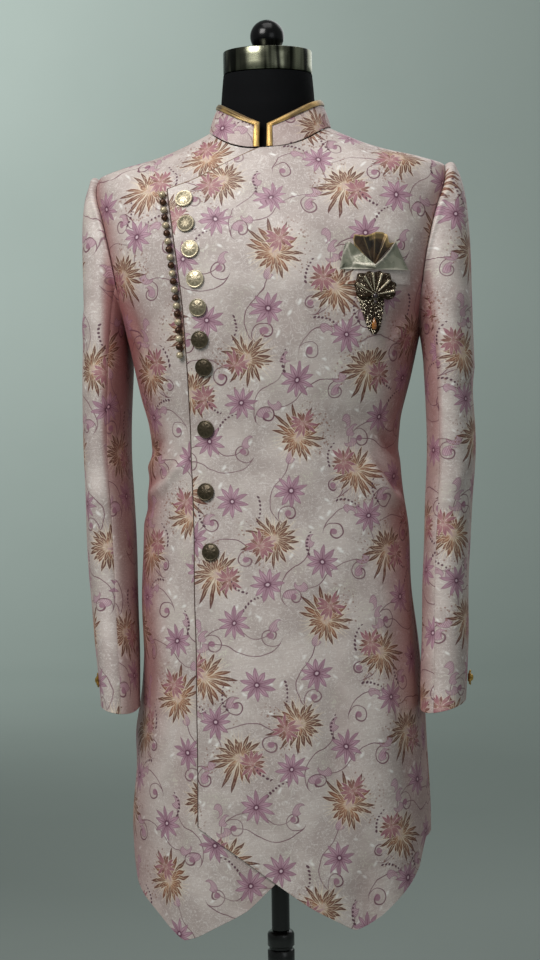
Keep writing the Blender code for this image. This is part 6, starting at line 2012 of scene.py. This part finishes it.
gt, gs = np.meshgrid(np.linspace(0, 1, 40), np.linspace(-1, 1, 26), indexing="ij")
wx = web_mid(gt) + gs * web_half(gt) * 0.95
wz = MESH_TOP + (MESH_LOW - MESH_TOP) * gt + 0.0010 * np.sin(gs * 19) * gt
low_in, _ = on_cloth(wx, wz, 0.0012 + 0 * wx)
low_out, _ = on_cloth(wx, wz, 0.0019 + 0 * wx)
web = grid_mesh("brooch_web", low_out, low_in, np.stack((wx, wz), -1), None, [OXIDE], 0.0002)
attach(web, "root")
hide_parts("brooch_mesh")
centres, radii, tones = [], [], []
rows = 24
for r in range(rows):
    t = (r + 0.5) / rows
    half = float(web_half(t))
    count = max(3, int(2 * half / 0.00190))
    for j in range(count):
        side = -1 + 2 * (j + 0.5 + 0.25 * (r % 2) - 0.125) / count
        x = web_mid(t) + side * half + rng.uniform(-0.0003, 0.0003)
        zz = MESH_TOP + (MESH_LOW - MESH_TOP) * t + rng.uniform(-0.0004, 0.0004)
        c, _ = on_cloth(x, zz, 0.0026 + 0.0008 * rng.uniform())
        centres.append(c.reshape(3))
        # painted sparkle: some links made pale and larger as glints, more near the edges than in the middle
        chance = 0.46 if side < -0.5 else 0.38 if side > 0.65 else 0.22
        bright = rng.uniform() < chance
        radii.append(rng.uniform(0.00095, 0.00125) if bright else rng.uniform(0.00060, 0.00090))
        tones.append(rng.uniform(0.75, 1.0) if bright else 0.2 * rng.uniform())
links = balls("brooch_links", centres, radii, CHAIN, tones, 1)
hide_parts("brooch_mesh")
drop = soft_profile([(0.0, -0.0076), (0.0016, -0.0071), (0.0029, -0.0050), (0.0032, -0.0028), (0.0024, 0.0016),
                     (0.0012, 0.0052), (0.0005, 0.0070), (0.0, 0.0074)], 34)
at, dn = on_cloth(HUB_X - 0.0014, HUB_Z - 0.0345, 0.0050)
obj = join_parts("brooch_drop", [turned_part(drop, 28, stand_on(at.reshape(3), bz))], AMBER, sharp=60)
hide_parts("brooch_mesh")

# =====================================================================
# Dress form and stand
# =====================================================================
def form_rows():
    zs = np.concatenate((FORM_BOTTOM_Z + 0.020 * (1 - np.cos(np.linspace(0, math.pi / 2, 9))),
                         np.linspace(FORM_BOTTOM_Z + 0.026, 1.478, 84), np.linspace(1.482, NECK_TOP_Z - 0.0006, 26)))
    share = np.where(zs < FORM_BOTTOM_Z + 0.020, 0.90 + 0.10 * np.sqrt(np.clip(
        1 - ((FORM_BOTTOM_Z + 0.020 - zs) / 0.020) ** 2, 0, 1)), 1.0)
    return zs, share


zs, share = form_rows()
a, bf, bb, nn = body_section(np.minimum(zs, 1.478))
shrink = FORM_CLEAR + 0.006 * ease((zs - 1.42) / 0.03)
a = np.where(zs > 1.235, np.minimum(a - shrink, FORM_ARM_X), a - shrink)
bf, bb = bf - FORM_CLEAR, bb - FORM_CLEAR
low = zs > 1.478
for k, arr in ((1, a), (2, bf), (3, bb)):
    neck = np.interp(zs, np.concatenate(([1.478], column(FORM_NECK, 0))),
                     np.concatenate(([arr[~low][-1]], column(FORM_NECK, k))))
    arr[low] = neck[low]
nn = np.where(low, 2.0, nn)
t = 2 * math.pi * np.arange(128) / 128
T, Z = np.meshgrid(t, zs)
b = np.where(np.sin(T) < 0, bf[:, None], bb[:, None])
X = a[:, None] * spow(np.cos(T), 2 / nn[:, None])
X = X - np.copysign(sleeve_dent(np.where(T < math.pi, T, T - 2 * math.pi), Z), np.cos(T))
drift = COAT_SHIFT * (1 - ease((Z - 1.30) / 0.15))
lean = SHOULDER_LEAN * X * ease((Z - 1.25) / 0.15) * (1 - ease((Z - 1.465) / 0.03))
# the jersey is pulled over padding, so it is never quite even
pad = 1 - 0.0006 / 0.15 * (1 + np.sin(7 * T + 30 * Z))
verts = np.stack((share[:, None] * X * pad + drift, share[:, None] * b * spow(np.sin(T), 2 / nn[:, None]) * pad, Z + lean), -1)
count = verts.shape[0]
pts = np.vstack((verts.reshape(-1, 3), [(COAT_SHIFT, 0, FORM_BOTTOM_Z), (0, 0, NECK_TOP_Z - 0.0004)]))
faces = [(i * 128 + k, i * 128 + (k + 1) % 128, (i + 1) * 128 + (k + 1) % 128, (i + 1) * 128 + k)
         for i in range(count - 1) for k in range(128)]
faces += [((k + 1) % 128, k, len(pts) - 2) for k in range(128)]
faces += [((count - 1) * 128 + k, (count - 1) * 128 + (k + 1) % 128, len(pts) - 1) for k in range(128)]
form = mesh_piece("form_body_jersey", pts, faces, JERSEY, sharp=50)
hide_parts("form_body")


def turned_piece(name, node, profile, segs, mat, sharp=40):
    v, f, _ = turned_part(profile, segs)
    obj = mesh_piece(name, v, f, mat, sharp=sharp)
    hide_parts(node)
    return obj


turned_piece("form_cap_ring", "form_cap", [
    (0.0, CAP_Z0), (CAP_R - 0.0016, CAP_Z0), (CAP_R - 0.0005, CAP_Z0 + 0.0004), (CAP_R, CAP_Z0 + 0.0014),
    (CAP_R, CAP_Z0 + 0.010), (CAP_R, CAP_Z1 - 0.0100), (CAP_R, CAP_Z1 - 0.0022), (CAP_R - 0.0006, CAP_Z1 - 0.0008),
    (CAP_R - 0.0020, CAP_Z1 - 0.0002), (CAP_R - 0.0040, CAP_Z1), (CAP_R - 0.0060, CAP_Z1 - 0.0008),
    (0.0240, CAP_Z1 - 0.0008), (0.0220, CAP_Z1 - 0.0002), (0.0, CAP_Z1 - 0.0002)], 144, CHROME)
knob = [(0.0, CAP_Z1), (0.0150, CAP_Z1), (0.0158, CAP_Z1 + 0.0006), (0.0152, CAP_Z1 + 0.0018)]
for i in range(30):
    q = math.radians(-44 + 134 * i / 30)
    knob.append((KNOB_R * math.cos(q), CAP_Z1 + 0.0190 + KNOB_R * 0.98 * math.sin(q)))
knob.append((0.0, CAP_Z1 + 0.0190 + KNOB_R * 0.98))
turned_piece("form_knob_ball", "form_knob", knob, 96, GLOSS, 50)
turned_piece("stand_pole_tube", "stand_pole", [
    (0.0, COLLAR_Z1 + 0.0003), (POLE_R - 0.0006, COLLAR_Z1 + 0.0003), (POLE_R, COLLAR_Z1 + 0.0009),
    (POLE_R, 0.62), (POLE_R, FORM_BOTTOM_Z - 0.0009), (POLE_R - 0.0006, FORM_BOTTOM_Z - 0.0003),
    (0.0, FORM_BOTTOM_Z - 0.0003)], 72, POLE_BLACK)
mid_z = (COLLAR_Z0 + COLLAR_Z1) / 2
turned_piece("stand_collar_clamp", "stand_collar", [
    (0.0, COLLAR_Z0), (COLLAR_R - 0.0028, COLLAR_Z0), (COLLAR_R - 0.0008, COLLAR_Z0 + 0.0008),
    (COLLAR_R, COLLAR_Z0 + 0.0026), (COLLAR_R, mid_z - 0.0032), (COLLAR_R - 0.0008, mid_z - 0.0022),
    (COLLAR_R - 0.0022, mid_z - 0.0014), (COLLAR_R - 0.0022, mid_z + 0.0014), (COLLAR_R - 0.0008, mid_z + 0.0022),
    (COLLAR_R, mid_z + 0.0032), (COLLAR_R, COLLAR_Z1 - 0.0046), (COLLAR_R - 0.0012, COLLAR_Z1 - 0.0018),
    (COLLAR_R - 0.0034, COLLAR_Z1), (0.0, COLLAR_Z1)], 72, POLE_BLACK)
turned_piece("stand_tube_lower", "stand_tube", [
    (0.0, BASE_H + 0.0163), (TUBE_R - 0.0006, BASE_H + 0.0163), (TUBE_R, BASE_H + 0.0170),
    (TUBE_R, COLLAR_Z0 - 0.0010), (TUBE_R - 0.0006, COLLAR_Z0 - 0.0003), (0.0, COLLAR_Z0 - 0.0003)], 72, POLE_BLACK)
turned_piece("stand_base_disc", "stand_base", [
    (0.0, 0.0), (BASE_R - 0.0030, 0.0), (BASE_R - 0.0008, 0.0006), (BASE_R, 0.0024), (BASE_R, BASE_H - 0.0080),
    (BASE_R - 0.0010, BASE_H - 0.0040), (BASE_R - 0.0036, BASE_H - 0.0012), (BASE_R - 0.0080, BASE_H),
    (0.0330, BASE_H), (0.0290, BASE_H + 0.0016), (0.0272, BASE_H + 0.0060), (0.0262, BASE_H + 0.0140),
    (0.0250, BASE_H + 0.0160), (0.0, BASE_H + 0.0160)], 144, BASE_BLACK)
print("CUTS", {k: tuple(round(v, 4) for v in c) for k, c in CUTS.items()})

# =====================================================================
# Camera, light and floor
# =====================================================================
def camera():
    distance, turn, height, focal, side_step = 2.8, math.radians(6.0), 1.152, 2205.0, -0.005
    pitch, roll = math.atan(80 / focal), math.radians(0.89)
    f = Vector((-math.sin(turn) * math.cos(pitch), math.cos(turn) * math.cos(pitch), -math.sin(pitch)))
    r = Vector((math.cos(turn), math.sin(turn), 0.0))
    u = r.cross(f)
    at = Vector((distance * math.sin(turn), -distance * math.cos(turn), height)) + r * side_step
    r, u = r * math.cos(roll) - u * math.sin(roll), u * math.cos(roll) + r * math.sin(roll)
    data = bpy.data.cameras.new("camera")
    data.sensor_fit, data.sensor_height, data.sensor_width = "VERTICAL", 36.0, 36.0
    data.lens = 36.0 * focal / 960.0
    data.clip_end = 60.0
    cam = bpy.data.objects.new("camera", data)
    m = Matrix((r, u, -f)).transposed().to_4x4()
    m.translation = at
    cam.matrix_world = m
    bpy.context.scene.collection.objects.link(cam)
    bpy.context.scene.camera = cam


def area_light(name, at, to, size, power, color=(1, 1, 1), size_y=None):
    data = bpy.data.lights.new(name, "AREA")
    data.shape = "RECTANGLE"
    data.size, data.size_y = size, size_y or size
    data.energy, data.color = power, color
    obj = bpy.data.objects.new(name, data)
    at, to = Vector(at), Vector(to)
    obj.location = at
    obj.rotation_euler = (to - at).to_track_quat("-Z", "Y").to_euler()
    obj.visible_camera = False
    bpy.context.scene.collection.objects.link(obj)


def studio():
    """A pale floor that curves up into a pale wall behind."""
    # the wall stands far enough back to leave room to look at the coat from behind
    start, bend, tall = 6.4, 2.2, 7.0
    rows = [(-9.0 + (start + 9.0) * i / 12, 0.0) for i in range(12)]
    rows += [(start + bend * math.sin(a), bend - bend * math.cos(a)) for a in np.linspace(0, math.pi / 2, 25)]
    rows += [(start + bend, bend + (tall - bend) * i / 6) for i in range(1, 7)]
    verts = [(x, y, z) for y, z in rows for x in (-9.0, 9.0)]
    faces = [(2 * i, 2 * i + 1, 2 * i + 3, 2 * i + 2) for i in range(len(rows) - 1)]
    mesh = bpy.data.meshes.new("floor")
    mesh.from_pydata(verts, [], faces)
    mesh.shade_smooth()
    mat, net, shader = new_material("pale_floor", 0.75, 0.0, (176, 184, 180))
    P = net.place()
    color = net.mix(net.noise(P, 1.3, 3.0), srgb(166, 177, 172), srgb(176, 186, 181))
    # painted shade: the floor and the foot of the curve darker towards the bottom
    z = net.xyz(P)[2]
    color = net.mix(net.fit(z, 1.8, 0.0, 0.0, 0.40), color, srgb(112, 121, 117))
    net.put(shader.inputs["Base Color"], color)
    net.put(shader.inputs["Normal"], net.bump(net.noise(P, 220.0, 2.0), 0.15, 0.0006))
    mesh.materials.append(mat)
    obj = bpy.data.objects.new("floor", mesh)
    bpy.context.scene.collection.objects.link(obj)


camera()
studio()
area_light("key", (-1.06, -1.88, 2.88), (0, 0, 1.37), 1.3, 54, (1.0, 0.98, 0.955))
area_light("fill", (2.2, -2.9, 1.7), (0, 0, 1.0), 1.8, 9, (0.94, 0.97, 1.0))
area_light("top", (0.1, -0.4, 3.4), (0, 0, 1.2), 1.4, 12, (1.0, 0.98, 0.96))
area_light("back", (0.9, 2.2, 2.6), (0, 0, 1.1), 2.0, 14, (0.97, 0.99, 1.0))
area_light("wall", (-3.4, 5.0, 3.9), (-1.5, 8.6, 2.7), 2.4, 160, (0.95, 1.0, 0.98))
world = bpy.data.worlds.new("studio")
world.use_nodes = True
world.node_tree.nodes["Background"].inputs["Color"].default_value = (0.80, 0.86, 0.84, 1.0)
world.node_tree.nodes["Background"].inputs["Strength"].default_value = 0.21
bpy.context.scene.world = world
bpy.context.scene.view_settings.view_transform = "Standard"
